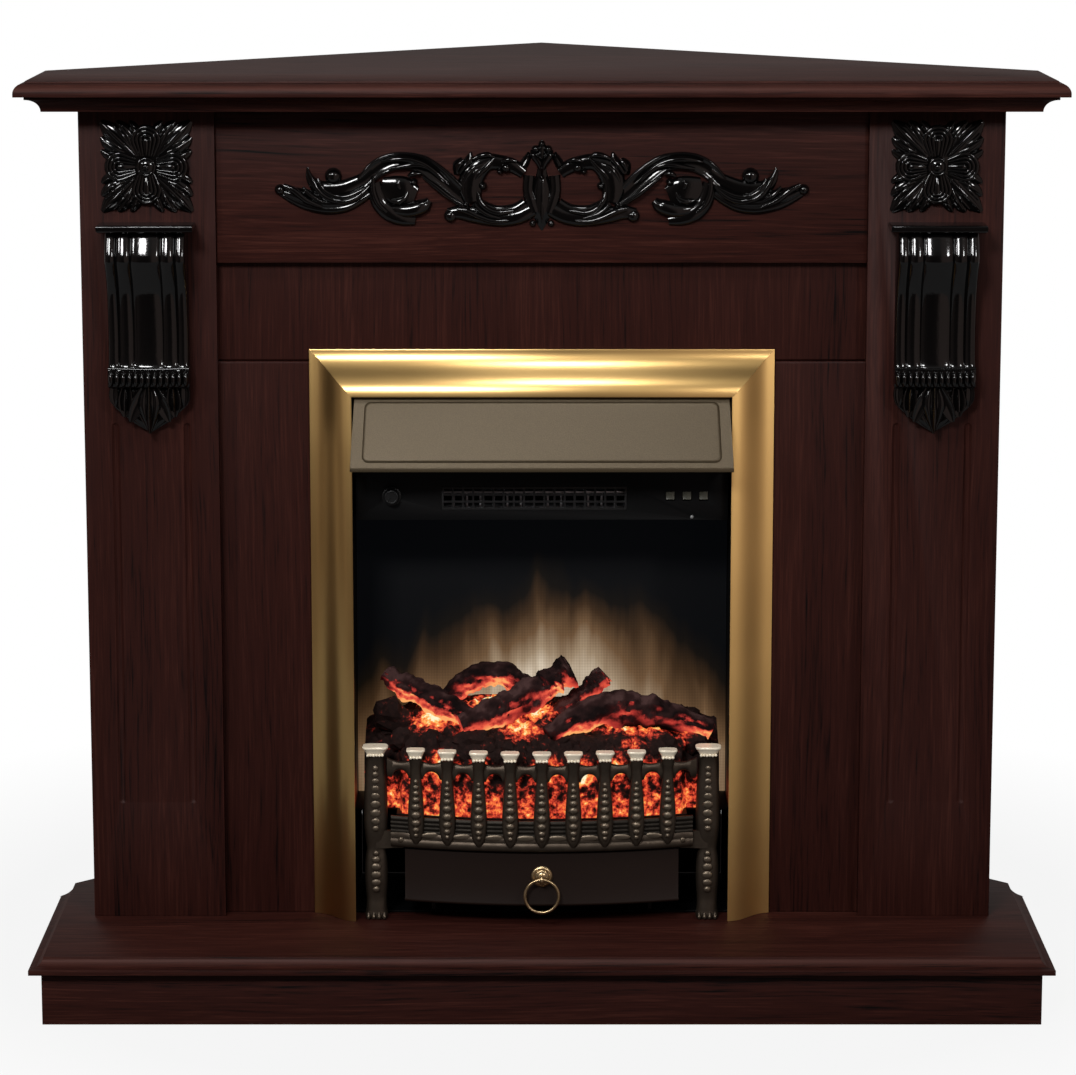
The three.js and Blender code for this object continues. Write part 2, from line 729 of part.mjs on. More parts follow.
// Case: a sheet box, open in front and behind, with a flange that rests on the facing.
const caseBottom = hearthTop + seat;
const housing = cut(
  join(
    box(-housingHalf, housingHalf, housingFront, housingBack, caseBottom, housingTop),
    box(
      -housingHalf - flangeWidth,
      housingHalf + flangeWidth,
      housingFront,
      housingFront + steel,
      caseBottom,
      housingTop + flangeWidth / 2,
    ),
  ),
  box(
    -housingInside,
    housingInside,
    housingFront - past,
    housingBack + past,
    caseBottom + steel,
    housingTop - steel,
  ),
);
add(fire, "housing_shell", housing, blackSteel());

// Rear cover: a plate inside the case's back edge, with cooling slots and the lead's hole.
const coverHalf = housingInside - seat;
const coverBack = housingBack - steel;
const coverFront = coverBack - steel;
const slotCount = 6;
const coverSlots = Array.from({ length: slotCount }, (_, i) => {
  const z = housingTop - 40 - i * 14;
  return box(-70, 70, coverFront - past, coverBack + past, z - 3, z + 3);
});
const glandZ = hearthTop + glandHeight;
add(
  fire,
  "rear_cover",
  cut(
    box(-coverHalf, coverHalf, coverFront, coverBack, caseBottom + steel + seat, housingTop - steel - seat),
    rodY(glandRadius - 2 + seat, coverFront - past, coverBack + past, glandAcross, glandZ),
    ...coverSlots,
  ),
  blackSteel(),
);
const glandFlange = 3;
add(
  fire,
  "cable_gland",
  turnedY([
    [cableRadius, -8],
    [glandRadius - 2, -8],
    [glandRadius - 2, seat + steel],
    [glandRadius, seat + steel],
    [glandRadius, seat + steel + glandFlange],
    [glandRadius - 3, seat + steel + 12],
    [cableRadius, seat + steel + 12],
    [cableRadius, -8],
  ], 12),
  blackPlastic(),
  [glandAcross, coverFront, glandZ],
);

// Canopy: folded sheet, wider in front, open below and behind.
const hoodZ0 = hearthTop + hoodBottom;
const hoodZ1 = hearthTop + hoodTop;
const hoodBack = -fasciaFront - seat;
const hoodSide = (inset, floor) =>
  outlineOf([
    [hoodBack + (inset ? past : 0), hoodZ1 - inset],
    [-hoodTopReach + inset / 2, hoodZ1 - inset],
    [-hoodReach + inset, hoodZ0 + hoodLip],
    [-hoodReach + inset, hoodZ0 - floor],
    [hoodBack + (inset ? past : 0), hoodZ0 - floor],
  ]);
const hoodPlan = (inset) =>
  outlineOf([
    [-hoodTopHalf + inset, hoodBack + past],
    [-hoodTopHalf + inset, -hoodTopReach],
    [-hoodHalf + inset, -hoodReach - (inset ? past : 0)],
    [hoodHalf - inset, -hoodReach - (inset ? past : 0)],
    [hoodTopHalf - inset, -hoodTopReach],
    [hoodTopHalf - inset, hoodBack + past],
  ]);
const hoodBlock = (inset, floor) =>
  common(
    across(hoodSide(inset, floor), -hoodHalf, hoodHalf),
    upright(hoodPlan(inset), hoodZ0 - 2 * past, hoodZ1 + past),
  );
add(fire, "hood", cut(hoodBlock(0, 0), hoodBlock(steel, past)), bronzePaint());

// ---------------------------------------------------------------- controls
const fasciaBack = -fasciaFront + steel;
const fasciaZ = hearthTop + fasciaBottom;
const ceilingBack = screenDepth + screenThickness + 24;
const controlZ = hearthTop + controlHeight;
const grilleX0 = grilleMiddle - grilleWidth / 2;
const grilleX1 = grilleMiddle + grilleWidth / 2;
const grilleZ0 = hearthTop + grilleBottom;
const grilleZ1 = grilleZ0 + grilleHeight;
const rockerSweep = 0.9; // room round a rocker
const rockerMiddles = [-1, 0, 1].map((i) => switchAcross + i * switchPitch);
const pivotY = -fasciaFront + rockerPivotDepth;
const rockerHole = (x, y0, y1) =>
  box(
    x - rockerWidth / 2 - seat,
    x + rockerWidth / 2 + seat,
    y0,
    y1,
    controlZ - rockerHalfHeight - rockerSweep,
    controlZ + rockerHalfHeight + rockerSweep,
  );
const lampZ = fasciaZ + 3.2;
// Fascia: an L-shaped panel, its lower leg is the ceiling of the fire chamber.
add(
  fire,
  "control_fascia",
  cut(
    join(
      box(-fasciaHalf, fasciaHalf, -fasciaFront, fasciaBack, fasciaZ, hoodZ1 - seat),
      box(-fasciaHalf, fasciaHalf, -fasciaFront, ceilingBack, fasciaZ, fasciaZ + steel / 2),
      box(-coverHalf, coverHalf, housingFront + seat, ceilingBack, fasciaZ, fasciaZ + steel / 2),
    ),
    box(grilleX0, grilleX1, -fasciaFront - past, fasciaBack + past, grilleZ0, grilleZ1),
    rodY(stemRadius + 2 * seat, -fasciaFront - past, fasciaBack + past, knobAcross, controlZ),
    rodY(lampLensRadius + seat, -fasciaFront - past, fasciaBack + past, lampAcross, lampZ, 10),
    ...rockerMiddles.map((x) => rockerHole(x, -fasciaFront - past, fasciaBack + past)),
  ),
  blackSteel(),
);

// Grille of the outlet: three rows of slots.
const slotPitch = (grilleWidth - 2 * seat - grilleBar) / grilleColumns;
const rowPitch = (grilleHeight - 2 * seat - grilleBar) / grilleRows;
const grilleSlots = [];
for (let row = 0; row < grilleRows; row++)
  for (let column = 0; column < grilleColumns; column++) {
    const x = grilleX0 + seat + grilleBar + column * slotPitch;
    const z = grilleZ0 + seat + grilleBar + row * rowPitch;
    grilleSlots.push(
      box(x, x + slotPitch - grilleBar, -fasciaFront - past, fasciaBack + past, z, z + rowPitch - grilleBar),
    );
  }
add(
  fire,
  "outlet_grille",
  cut(
    box(grilleX0 + seat, grilleX1 - seat, -fasciaFront, fasciaBack, grilleZ0 + seat, grilleZ1 - seat),
    ...grilleSlots,
  ),
  blackPlastic(),
);

// Rockers: each turns on its pivot behind the panel and rests in its off position.
const rockerOutline = outlineOf([
  [-3.2, rockerHalfHeight],
  [-2.1, 0],
  [-3.2, -rockerHalfHeight],
  [2, -rockerHalfHeight + 0.6],
  [2, rockerHalfHeight - 0.6],
]);
rockerMiddles.forEach((x, i) => {
  const rocker = add(
    fire,
    "rocker_switch_" + (i + 1),
    across(rockerOutline, -rockerWidth / 2, rockerWidth / 2),
    finish("#b9b48e", 0.4, 0),
    [x, pivotY, controlZ],
  );
  rocker.rotation.x = THREE.MathUtils.degToRad(-rockerTilt);
});
const blockEdge = 3;
add(
  fire,
  "switch_block",
  cut(
    box(
      rockerMiddles[0] - rockerWidth / 2 - blockEdge,
      rockerMiddles[2] + rockerWidth / 2 + blockEdge,
      fasciaBack + seat,
      fasciaBack + 18,
      controlZ - rockerHalfHeight - blockEdge,
      controlZ + rockerHalfHeight + blockEdge,
    ),
    ...rockerMiddles.map((x) => rockerHole(x, fasciaBack - past, pivotY + 2 + rockerSweep)),
  ),
  blackPlastic(),
);
add(
  fire,
  "indicator_lamp",
  turnedY([[0, -1.2], [lampLensRadius * 0.7, -0.9], [lampLensRadius, 0], [lampLensRadius, 6], [0, 6]], 10),
  finish("#7d1d10", 0.2, 0),
  [lampAcross, -fasciaFront, lampZ],
);

// Knob with its stem, and the control that the stem turns in.
const stemLength = 18;
const knobBody = turnedY(
  [
    [0, -knobProjection],
    [knobRadius - 2.5, -knobProjection],
    [knobRadius - 1, -knobProjection + 1],
    [knobRadius, -1.5],
    [knobRadius, -seat],
    [stemRadius, -seat],
    [stemRadius, stemLength],
    [0, stemLength],
  ],
  24,
);
const pointer = box(
  -0.8,
  0.8,
  -knobProjection - past,
  -knobProjection + 1.2,
  knobRadius * 0.35,
  knobRadius + past,
);
const knobOff = -135; // degrees from upright, where the knob rests at its lowest setting
add(fire, "flame_knob", cut(knobBody, pointer.rotateY(THREE.MathUtils.degToRad(knobOff))), blackPlastic(), [
  knobAcross,
  -fasciaFront,
  controlZ,
]);
const controlRadius = 12;
add(
  fire,
  "knob_control",
  turnedY([
    [stemRadius + seat, 0],
    [controlRadius, 0],
    [controlRadius, stemLength],
    [stemRadius + seat, stemLength],
    [stemRadius + seat, 0],
  ]),
  zinc(),
  [knobAcross, fasciaBack + seat, controlZ],
);

// ---------------------------------------------------------------- blower
const rotorZ = fasciaZ + rotorLift;
const rotorX0 = grilleMiddle - rotorLength / 2;
const rotorX1 = grilleMiddle + rotorLength / 2;
const rotorPlay = 4; // rotor to the scroll's walls
const scrollWall = 1.6;
const cheekInside = 2; // rotor to the cheeks
const scrollBottom = fasciaZ + steel / 2 + seat;
const scrollFront = fasciaBack + seat;
// The scroll's back wall grows from the outlet's floor round behind the rotor.
const scrollSteps = 14;
const scrollPoint = (i, extra) => {
  const turn = -Math.PI / 2 + (i / scrollSteps) * Math.PI * 1.05;
  const floorRadius = rotorZ - scrollBottom - scrollWall;
  const radius = floorRadius + (rotorRadius + rotorPlay - floorRadius) * (i / scrollSteps) + extra;
  return [rotorDepth + radius * Math.cos(turn), rotorZ + radius * Math.sin(turn)];
};
const scrollBack = outlineOf([
  [scrollFront, scrollBottom + scrollWall],
  ...Array.from({ length: scrollSteps + 1 }, (_, i) => scrollPoint(i, 0)),
  ...Array.from({ length: scrollSteps + 1 }, (_, i) => scrollPoint(scrollSteps - i, scrollWall)),
  [scrollFront, scrollBottom],
]);
const tongueZ = grilleZ1 + 1;
const tongue = outlineOf([
  [scrollFront, tongueZ],
  [rotorDepth - rotorRadius - rotorPlay + 2, tongueZ],
  [rotorDepth - rotorRadius - rotorPlay - 4, rotorZ],
  [rotorDepth - rotorRadius - rotorPlay - 4 - scrollWall, rotorZ],
  [rotorDepth - rotorRadius - rotorPlay, tongueZ + scrollWall],
  [scrollFront, tongueZ + scrollWall],
]);
const scrollX0 = rotorX0 - cheekInside;
const scrollX1 = rotorX1 + cheekInside;
const cheekTop = rotorZ + rotorRadius + rotorPlay + scrollWall;
const cheekBack = rotorDepth + rotorZ - scrollBottom;
const cheek = (x0, x1) =>
  cut(
    across(
      outlineOf([
        [scrollFront, scrollBottom],
        [cheekBack, scrollBottom],
        [cheekBack, rotorZ],
        [rotorDepth, cheekTop],
        [rotorDepth - rotorRadius - rotorPlay - 5.6, rotorZ + 4],
        [scrollFront, tongueZ + scrollWall],
      ]),
      x0,
      x1,
    ),
    rodX(shaftRadius + seat, x0 - past, x1 + past, rotorDepth, rotorZ, 12),
  );
add(
  fire,
  "fan_scroll",
  join(
    across(scrollBack, scrollX0, scrollX1),
    across(tongue, scrollX0, scrollX1),
    cheek(scrollX0 - scrollWall, scrollX0),
    cheek(scrollX1, scrollX1 + scrollWall),
  ),
  zinc(),
);

// Cross-flow rotor: two discs and a ring of blades on a shaft.
const discThickness = 2;
const bladeWidth = 9;
const bladeLean = 0.5; // radians off the radius
const blade = (i) =>
  box(rotorX0 + 1, rotorX1 - 1, -bladeWidth / 2, bladeWidth / 2, -0.6, 0.6)
    .rotateX(bladeLean)
    .translate(0, rotorRadius - 1 - bladeWidth / 2, 0)
    .rotateX((2 * Math.PI * i) / rotorBlades);
const shaftEnd = scrollX1 + scrollWall + seat + motorLength * 0.6;
add(
  fire,
  "fan_impeller",
  join(
    rodX(shaftRadius, scrollX0 - scrollWall, shaftEnd, 0, 0, 12),
    rodX(rotorRadius, rotorX0, rotorX0 + discThickness, 0, 0, 20),
    rodX(rotorRadius, rotorX1 - discThickness, rotorX1, 0, 0, 20),
    ...Array.from({ length: rotorBlades }, (_, i) => blade(i)),
  ),
  zinc(),
  [0, rotorDepth, rotorZ],
);
add(
  fire,
  "fan_motor",
  cut(
    join(
      rodX(motorRadius, 0, motorLength, 0, 0, 20),
      box(0, 2, -motorRadius - 5, motorRadius + 5, -6, 6),
    ),
    rodX(shaftRadius + seat, -past, motorLength * 0.7, 0, 0, 12),
  ),
  zinc(),
  [scrollX1 + scrollWall + seat, rotorDepth, rotorZ],
);

// Heating element: a frame of fins in the outlet, open from back to front.
const elementHalfHeight = 9;
const elementDepth = 16;
const finCount = 14;
const elementX0 = scrollX0 + seat;
const elementX1 = scrollX1 - seat;
const finPitch = (elementX1 - elementX0 - 2) / finCount;
const elementZ = (scrollBottom + scrollWall + tongueZ) / 2;
add(
  fire,
  "heating_element",
  cut(
    box(elementX0, elementX1, 0, elementDepth, -elementHalfHeight, elementHalfHeight),
    ...Array.from({ length: finCount }, (_, i) =>
      box(
        elementX0 + 2 + i * finPitch,
        elementX0 + (i + 1) * finPitch,
        -past,
        elementDepth + past,
        2 - elementHalfHeight,
        elementHalfHeight - 2,
      ),
    ),
  ),
  zinc(),
  [0, scrollFront + 8, elementZ],
);

// ---------------------------------------------------------------- flame effect
const screenTop = fasciaZ - seat;
add(
  fire,
  "flame_screen",
  box(-coverHalf, coverHalf, screenDepth, screenDepth + screenThickness, shelfTop + seat, screenTop),
  finish("#0a0a0c", 0.35, 0, "#2a1606"),
);

// Spindle with pairs of bright blades, each pair turned on from the last.
const spindleZ = hearthTop + spindleHeight;
const flagPitch = (spindleLength - 40) / spindleFlags;
const flagTwist = THREE.MathUtils.degToRad(37);
const spindleFlag = (i) => {
  const x = (i + 0.5) * flagPitch - (spindleFlags * flagPitch) / 2;
  const halfLength = flagPitch * 0.42;
  return box(-halfLength, halfLength, -spindleRadius, spindleRadius, -0.5, 0.5)
    .rotateX(i * flagTwist)
    .translate(x, 0, 0);
};
const spindleHalf = spindleLength / 2;
add(
  fire,
  "flame_spindle",
  join(
    rodX(shaftRadius, -spindleHalf, spindleHalf, 0, 0, 10),
    ...Array.from({ length: spindleFlags }, (_, i) => spindleFlag(i)),
  ),
  zinc(),
  [0, spindleDepth, spindleZ],
);
// Its geared motor on the left wall, and a bearing bracket on the right wall.
const gearMotorX = -housingInside + seat;
add(
  fire,
  "spindle_motor",
  cut(
    box(0, gearMotorLength, -gearMotorSize / 2, gearMotorSize / 2, -gearMotorSize / 2, gearMotorSize / 2),
    rodX(shaftRadius + seat, gearMotorLength - 12, gearMotorLength + past, 0, 0, 12),
  ),
  zinc(),
  [gearMotorX, spindleDepth, spindleZ],
);
const bearingX = spindleHalf - 8;
add(
  fire,
  "spindle_bearing",
  cut(
    join(
      box(bearingX, bearingX + steel, -10, 10, -12, 12),
      box(bearingX, housingInside - seat, -10, 10, -14, -12),
      box(housingInside - seat - steel, housingInside - seat, -10, 10, -26, -12),
    ),
    rodX(shaftRadius + seat, bearingX - past, bearingX + steel + past, 0, 0, 12),
  ),
  zinc(),
  [0, spindleDepth, spindleZ],
);

// ---------------------------------------------------------------- fuel bed
// The fret's front line in plan, and rings of it.
const bowY = (x, setback = 0) => bowCentre - Math.sqrt((bowRadius - setback) ** 2 - x ** 2);
function bowBand(half, setback, thickness, z0, z1) {
  const shape = new THREE.Shape();
  const steps = 14;
  const outer = Array.from({ length: steps + 1 }, (_, i) => -half + (2 * half * i) / steps);
  shape.setFromPoints([
    ...outer.map((x) => new THREE.Vector2(x, bowY(x, setback))),
    ...outer.reverse().map((x) => new THREE.Vector2(x, bowY(x, setback + thickness))),
  ]);
  return upright(shape, z0, z1);
}

// Shelf: a tray of sheet across the case, with a bowed front and flanges down the case's walls. It
// carries two lamp sockets.
const shelfFront = housingFront + seat;
const shelfTongueHalf = postAcross - 22;
const bedSetback = railThickness + 6;
const socketAcross = 36;
const lampDepth = 50;
const lampLift = 26;
const lampRadius = 16;
const socketHalf = 12;
const tongueSteps = 10;
const tongueLine = Array.from({ length: tongueSteps + 1 }, (_, i) => {
  const x = shelfTongueHalf - (2 * shelfTongueHalf * i) / tongueSteps;
  return [x, bowY(x, bedSetback)];
});
const shelfPlate = upright(
  outlineOf([
    [coverHalf, shelfFront],
    [coverHalf, coverFront - seat],
    [-coverHalf, coverFront - seat],
    [-coverHalf, shelfFront],
    [-shelfTongueHalf, shelfFront],
    ...tongueLine.slice().reverse(),
    [shelfTongueHalf, shelfFront],
  ]),
  shelfTop - steel,
  shelfTop,
);
const flangeSetback = 30; // flanges behind the shelf's front
const flangeDrop = 20;
const shelfFlange = (x0) =>
  box(
    x0,
    x0 + steel,
    shelfFront + flangeSetback,
    coverFront - seat,
    shelfTop - flangeDrop,
    shelfTop - steel / 2,
  );
const socket = (sign) =>
  cut(
    box(
      Math.min(sign * socketAcross, sign * (socketAcross - 2 * socketHalf)),
      Math.max(sign * socketAcross, sign * (socketAcross - 2 * socketHalf)),
      lampDepth - socketHalf,
      lampDepth + socketHalf,
      shelfTop - steel / 2,
      shelfTop + lampLift + socketHalf,
    ),
    rodX(
      8 + seat,
      Math.min(sign * (socketAcross - 14), sign * (socketAcross + past)),
      Math.max(sign * (socketAcross - 14), sign * (socketAcross + past)),
      lampDepth,
      shelfTop + lampLift,
      12,
    ),
  );
add(
  fire,
  "fuel_shelf",
  join(shelfPlate, shelfFlange(-coverHalf), shelfFlange(coverHalf - steel), socket(-1), socket(1)),
  blackSteel(),
);
// Lamps: a screw cap in its socket and a candle bulb, lying along X.
const lampProfile = [
  [0, 0], [8, 0], [8, 18], [11, 24], [lampRadius, 44], [lampRadius, 58], [11, 78], [4, 92], [0, 96],
];
const lamp = turnedY(lampProfile, 12).rotateZ(-Math.PI / 2);
for (const [side, sign] of [["right", 1], ["left", -1]])
  add(fire, "lamp_" + side, sign > 0 ? lamp : mirror(lamp), finish("#ffd9a0", 0.2, 0, "#ff8a30"), [
    sign * (socketAcross - 13),
    lampDepth,
    shelfTop + lampLift,
  ]);

// Ember bed: a moulded shell of coals, open below, that rises to the back.
const bedHalf = coverHalf - 6;
const bedBack = screenDepth - 2;
const bedColumns = 20;
const bedRows = 6;
const coal = (x, y) =>
  bedBumps *
  (Math.sin(x * 0.21 + y * 0.05) * Math.cos(y * 0.19 - x * 0.04) + 0.5 * Math.sin(x * 0.47 + y * 0.31));
function fuelMound(shrink, grow, bottom) {
  const rings = [];
  for (let c = 0; c <= bedColumns; c++) {
    const x = (bedHalf - shrink + grow) * ((2 * c) / bedColumns - 1);
    const inBow = Math.abs(x) < shelfTongueHalf - 1;
    const front = (inBow ? bowY(x, bedSetback) : shelfFront + 1) + shrink - grow;
    const back = bedBack - shrink + grow;
    const ring = [new THREE.Vector3(x, front, bottom)];
    for (let r = 0; r <= bedRows; r++) {
      const t = r / bedRows;
      const y = front + (back - front) * t;
      const shoulder = 1 - 0.25 * (Math.abs(x) / bedHalf) ** 4;
      const height = (bedFrontHeight + (bedBackHeight - bedFrontHeight) * Math.sqrt(t)) * shoulder;
      const bump = shrink ? -bedBumps : coal(x, y);
      ring.push(new THREE.Vector3(x, y, shelfTop + height - shrink + grow + bump));
    }
    ring.push(new THREE.Vector3(x, back, bottom));
    rings.push(ring);
  }
  return loft(rings);
}
const emberBed = cut(fuelMound(0, 0, shelfTop + seat), fuelMound(bedWall, 0, shelfTop - past));
add(fire, "ember_bed", emberBed, finish("#3a120a", 0.9, 0, "#ff4a10"));

// Logs: tapered, bent branches that lie in the bed and on each other. Points are [across, depth,
// height above the shelf].
const logs = [
  { points: [[-168, 58, 138], [-142, 50, 123], [-110, 38, 112], [-72, 22, 94]], radii: [9, 12, 13, 10] },
  {
    points: [[-104, 66, 110], [-78, 64, 130], [-50, 62, 138], [-22, 60, 124], [2, 58, 104]],
    radii: [10, 12, 12, 12, 10],
  },
  { points: [[-86, 8, 92], [-46, 18, 108], [-10, 30, 124], [24, 40, 143]], radii: [13, 17, 16, 14] },
  { points: [[14, 48, 92], [42, 54, 115], [68, 58, 137]], radii: [12, 12, 10] },
  {
    points: [[6, -6, 82], [46, 8, 101], [88, 14, 109], [132, 18, 101], [178, 24, 84]],
    radii: [12, 15, 17, 15, 10],
  },
];
// They are drawn for a bed 192.7 each side of the middle and 92 high, with its back at 88, and for a
// thickest log of 17.
const logPlace = ([x, y, z]) => [
  (x * bedHalf) / 192.7,
  (y * screenDepth) / 88,
  shelfTop + (z * bedBackHeight) / 92,
];
const upward = new THREE.Vector3(0, 0, 1);
const logShape = ({ points, radii }, grow) =>
  branch(
    points.map(logPlace),
    radii.map((r) => (r * logRadius) / 17),
    upward,
    { steps: 9, sides: 8, grow },
  );
logs.forEach((log, i) => {
  const shape = cut(
    logShape(log, 0),
    fuelMound(0, seat, shelfTop - past),
    ...logs.slice(0, i).map((earlier) => logShape(earlier, seat)),
  );
  add(fire, "log_" + (i + 1), largestBody(shape), charredLog());
});

// ---------------------------------------------------------------- fret
const fret = new THREE.Group();
standing.add(fret);
const railBottom = hearthTop + lowerRailBottom;
// Stations of one bar: [height above the hearth board, half width, half depth, reach before the bow].
const barStations = [
  [90, 1.5, 2.4, -1.5], [98, 4, 3.6, -0.5], [112, 5.9, 4.6, 0], [133, 5.6, 4.6, 0.4],
  [165, 3.7, 3.6, 0.4], [171, 5, 4.4, 1.2], [179, 7, 5.8, 2.4], [191, 9.8, 7.4, 4],
];
const bar = (i) => {
  const x = (i - (barCount - 1) / 2) * barPitch;
  return stack(
    barStations.map(([z, halfWidth, halfDepth, reach]) => [
      hearthTop + z,
      halfWidth,
      halfDepth,
      bowY(x) - reach,
    ]),
    x,
  );
};
add(
  fret,
  "fret_front",
  join(
    bowBand(bowHalf, 0, railThickness, railBottom, railBottom + lowerRailHeight),
    bowBand(bowHalf, 2, railThickness - 2, railBottom + 1, railBottom + lowerBandHeight),
    bowBand(
      bowHalf + 4,
      0.5,
      railThickness,
      hearthTop + upperRailBottom,
      hearthTop + upperRailBottom + upperRailHeight,
    ),
    ...Array.from({ length: barCount }, (_, i) => bar(i)),
  ),
  fretBrass(),
);

// End posts: a claw foot, a beaded leg and shaft, a cap, and an ear behind the lower rail's end.
const postStations = [
  [seat, 12.5, 11, -4], [8, 12.5, 11, -4], [14, 10, 8.5, -5], [24, 8.8, 7.4, -5], [40, 9.6, 8, -6],
  [56, 9.6, 8, -6], [68, 9, 7.2, -6], [77, 7.6, 6.4, -6], [88, 9.2, 7, -7], [104, 10.6, 8, -8],
  [124, 10.2, 8, -8], [144, 9.2, 7.4, -9], [163, 8.4, 6.8, -9], [172, 9, 7.4, -9], [178, 9.6, 8.6, -10],
  [190, 13.6, 11.4, -12],
];
const postBody = stack(postStations.map(([z, w, d, y]) => [hearthTop + z, w, d, y]), postAcross, 8);
const earGap = 1.5; // ear to the ash pan
const earBack = bowY(bowHalf, railThickness) + seat;
const earThickness = 5;
const ear = box(
  panHalf + earGap,
  postAcross,
  earBack,
  earBack + earThickness,
  railBottom - 4,
  railBottom + lowerRailHeight - 2,
);
const post = join(postBody, ear);
add(fret, "fret_post_right", post, fretBrass());
add(fret, "fret_post_left", mirror(post), fretBrass());

// Ash pan: a bowed tray on two runners.
const panZ = hearthTop + panBottom;
const panPlan = (inset) => {
  const steps = 14;
  const half = panHalf - inset;
  const line = Array.from({ length: steps + 1 }, (_, i) => {
    const x = -half + (2 * half * i) / steps;
    return [x, bowY(x, panSetback + inset)];
  });
  return outlineOf([...line, [half, panDepth - bowReach - inset], [-half, panDepth - bowReach - inset]]);
};
const runner = (x) =>
  box(x - 2, x + 2, housingFront + 4, housingFront + 40, caseBottom + steel + seat, panZ + steel / 2);
add(
  fret,
  "ash_pan",
  join(
    cut(
      upright(panPlan(0), panZ, panZ + panHeight),
      upright(panPlan(steel), panZ + steel, panZ + panHeight + past),
    ),
    runner(-panHalf * 0.8),
    runner(panHalf * 0.8),
  ),
  blackSteel(),
);

// Rose and ring: the ring hangs by its wire in the rose's eye.
const panFront = bowY(0, panSetback);
const roseZ = hearthTop + roseHeight;
const eyeDrop = 2;
const eyeHole = wireRadius + 0.6;
add(
  fret,
  "pull_rose",
  cut(
    join(
      turnedY(
        [[0, -4.2], [4, -4], [8, -2.8], [10, -2.6], [roseRadius, -1], [roseRadius, -seat], [0, -seat]],
        16,
      ),
      rodX(eyeRadius, -eyeHalfWidth, eyeHalfWidth, -eyeReach, -eyeDrop, 14),
      box(-eyeHalfWidth, eyeHalfWidth, -eyeReach, -2, -eyeDrop - 1.5, -eyeDrop + eyeRadius - 0.5),
    ),
    rodX(eyeHole, -eyeHalfWidth - past, eyeHalfWidth + past, -eyeReach, -eyeDrop, 14),
  ),
  brass(),
  [0, panFront, roseZ],
);
add(
  fret,
  "pull_ring",
  new THREE.TorusGeometry(ringRadius, wireRadius, 8, 24).rotateX(Math.PI / 2),
  brass(),
  [0, panFront - eyeReach, roseZ - eyeDrop - ringRadius],
);

// The whole stands on its own centre: halfway between the hearth board's front and the corner.
standing.position.y = (hearthFront - cornerDepth) / 2;

export default fireplace;
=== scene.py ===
import json
import math
import random

import bmesh
import bpy
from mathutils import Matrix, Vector, noise

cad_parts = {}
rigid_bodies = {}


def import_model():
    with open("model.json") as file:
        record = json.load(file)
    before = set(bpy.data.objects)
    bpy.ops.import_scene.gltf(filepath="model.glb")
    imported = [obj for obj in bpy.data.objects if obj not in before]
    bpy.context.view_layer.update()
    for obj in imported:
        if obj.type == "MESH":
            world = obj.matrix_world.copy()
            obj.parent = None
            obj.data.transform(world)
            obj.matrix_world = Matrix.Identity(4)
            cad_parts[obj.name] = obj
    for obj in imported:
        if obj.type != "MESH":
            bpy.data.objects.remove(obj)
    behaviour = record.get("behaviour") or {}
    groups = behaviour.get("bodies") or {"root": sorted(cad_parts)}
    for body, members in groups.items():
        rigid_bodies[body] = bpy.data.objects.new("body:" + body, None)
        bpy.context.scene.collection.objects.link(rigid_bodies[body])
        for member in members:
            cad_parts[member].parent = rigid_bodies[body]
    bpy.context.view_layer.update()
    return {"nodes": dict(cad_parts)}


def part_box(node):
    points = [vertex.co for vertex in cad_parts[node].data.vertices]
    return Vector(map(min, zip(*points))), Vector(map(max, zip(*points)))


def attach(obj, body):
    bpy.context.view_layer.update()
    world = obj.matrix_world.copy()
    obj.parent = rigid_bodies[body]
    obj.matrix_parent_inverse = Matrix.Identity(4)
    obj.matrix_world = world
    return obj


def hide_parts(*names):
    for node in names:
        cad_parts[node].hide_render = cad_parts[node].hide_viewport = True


bpy.ops.object.select_all(action="SELECT")
bpy.ops.object.delete()
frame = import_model()
nodes = frame["nodes"]
mm = 0.001
bpy.ops.object.select_all(action="DESELECT")
scene = bpy.context.scene
scene.view_settings.view_transform = "Standard"

# ---------------------------------------------------------------- camera
# The photograph was taken from straight in front, above the mantel, looking down on the fire.
camera_distance = 4.0  # in front of the pilasters
camera_height = 1.224
camera_left = 0.004
camera_tilt = 10.49  # degrees down
camera_lens = 129.7
pilaster_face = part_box("pilaster_left")[0].y
bpy.ops.object.camera_add(
    location=(-camera_left, pilaster_face - camera_distance, camera_height),
    rotation=(math.radians(90 - camera_tilt), 0, 0),
)
camera = bpy.context.object
camera.data.lens = camera_lens
scene.camera = camera

# ---------------------------------------------------------------- floor, room and lamps
# A pale studio sheet under the fireplace, short in front so that upright faces don't mirror it. Seen
# directly, it turns to pure white away from the fireplace.
sheet_front, sheet_back, sheet_half = -1.1, 2.6, 2.2
sheet_grey = 0.16
white_from, white_at = 0.62, 1.05  # distances from the middle between which it turns white
white_near, white_far = 0.90, 1.0  # how white it is seen at those distances
white_in_gloss = 0.07  # share of that white in a glossy face's mirror image


def new_material(name):
    """A material with nodes, with its node tree and its shader."""
    material = bpy.data.materials.new(name)
    material.use_nodes = True
    tree = material.node_tree
    return material, tree, tree.nodes["Principled BSDF"]


def link(tree, source, target):
    tree.links.new(source, target)


def added(tree, kind, feeds=None, **settings):
    """Adds a node and gives its outputs. An input is fed, by name or number, by a value or an output."""
    node = tree.nodes.new("ShaderNode" + kind)
    for setting, value in settings.items():
        setattr(node, setting, value)
    for socket, source in (feeds or {}).items():
        if isinstance(source, bpy.types.NodeSocket):
            link(tree, source, node.inputs[socket])
        else:
            node.inputs[socket].default_value = source
    return node.outputs


def value_of(tree, operation, *sources, clamp=False):
    return added(tree, "Math", dict(enumerate(sources)), operation=operation, use_clamp=clamp)[0]


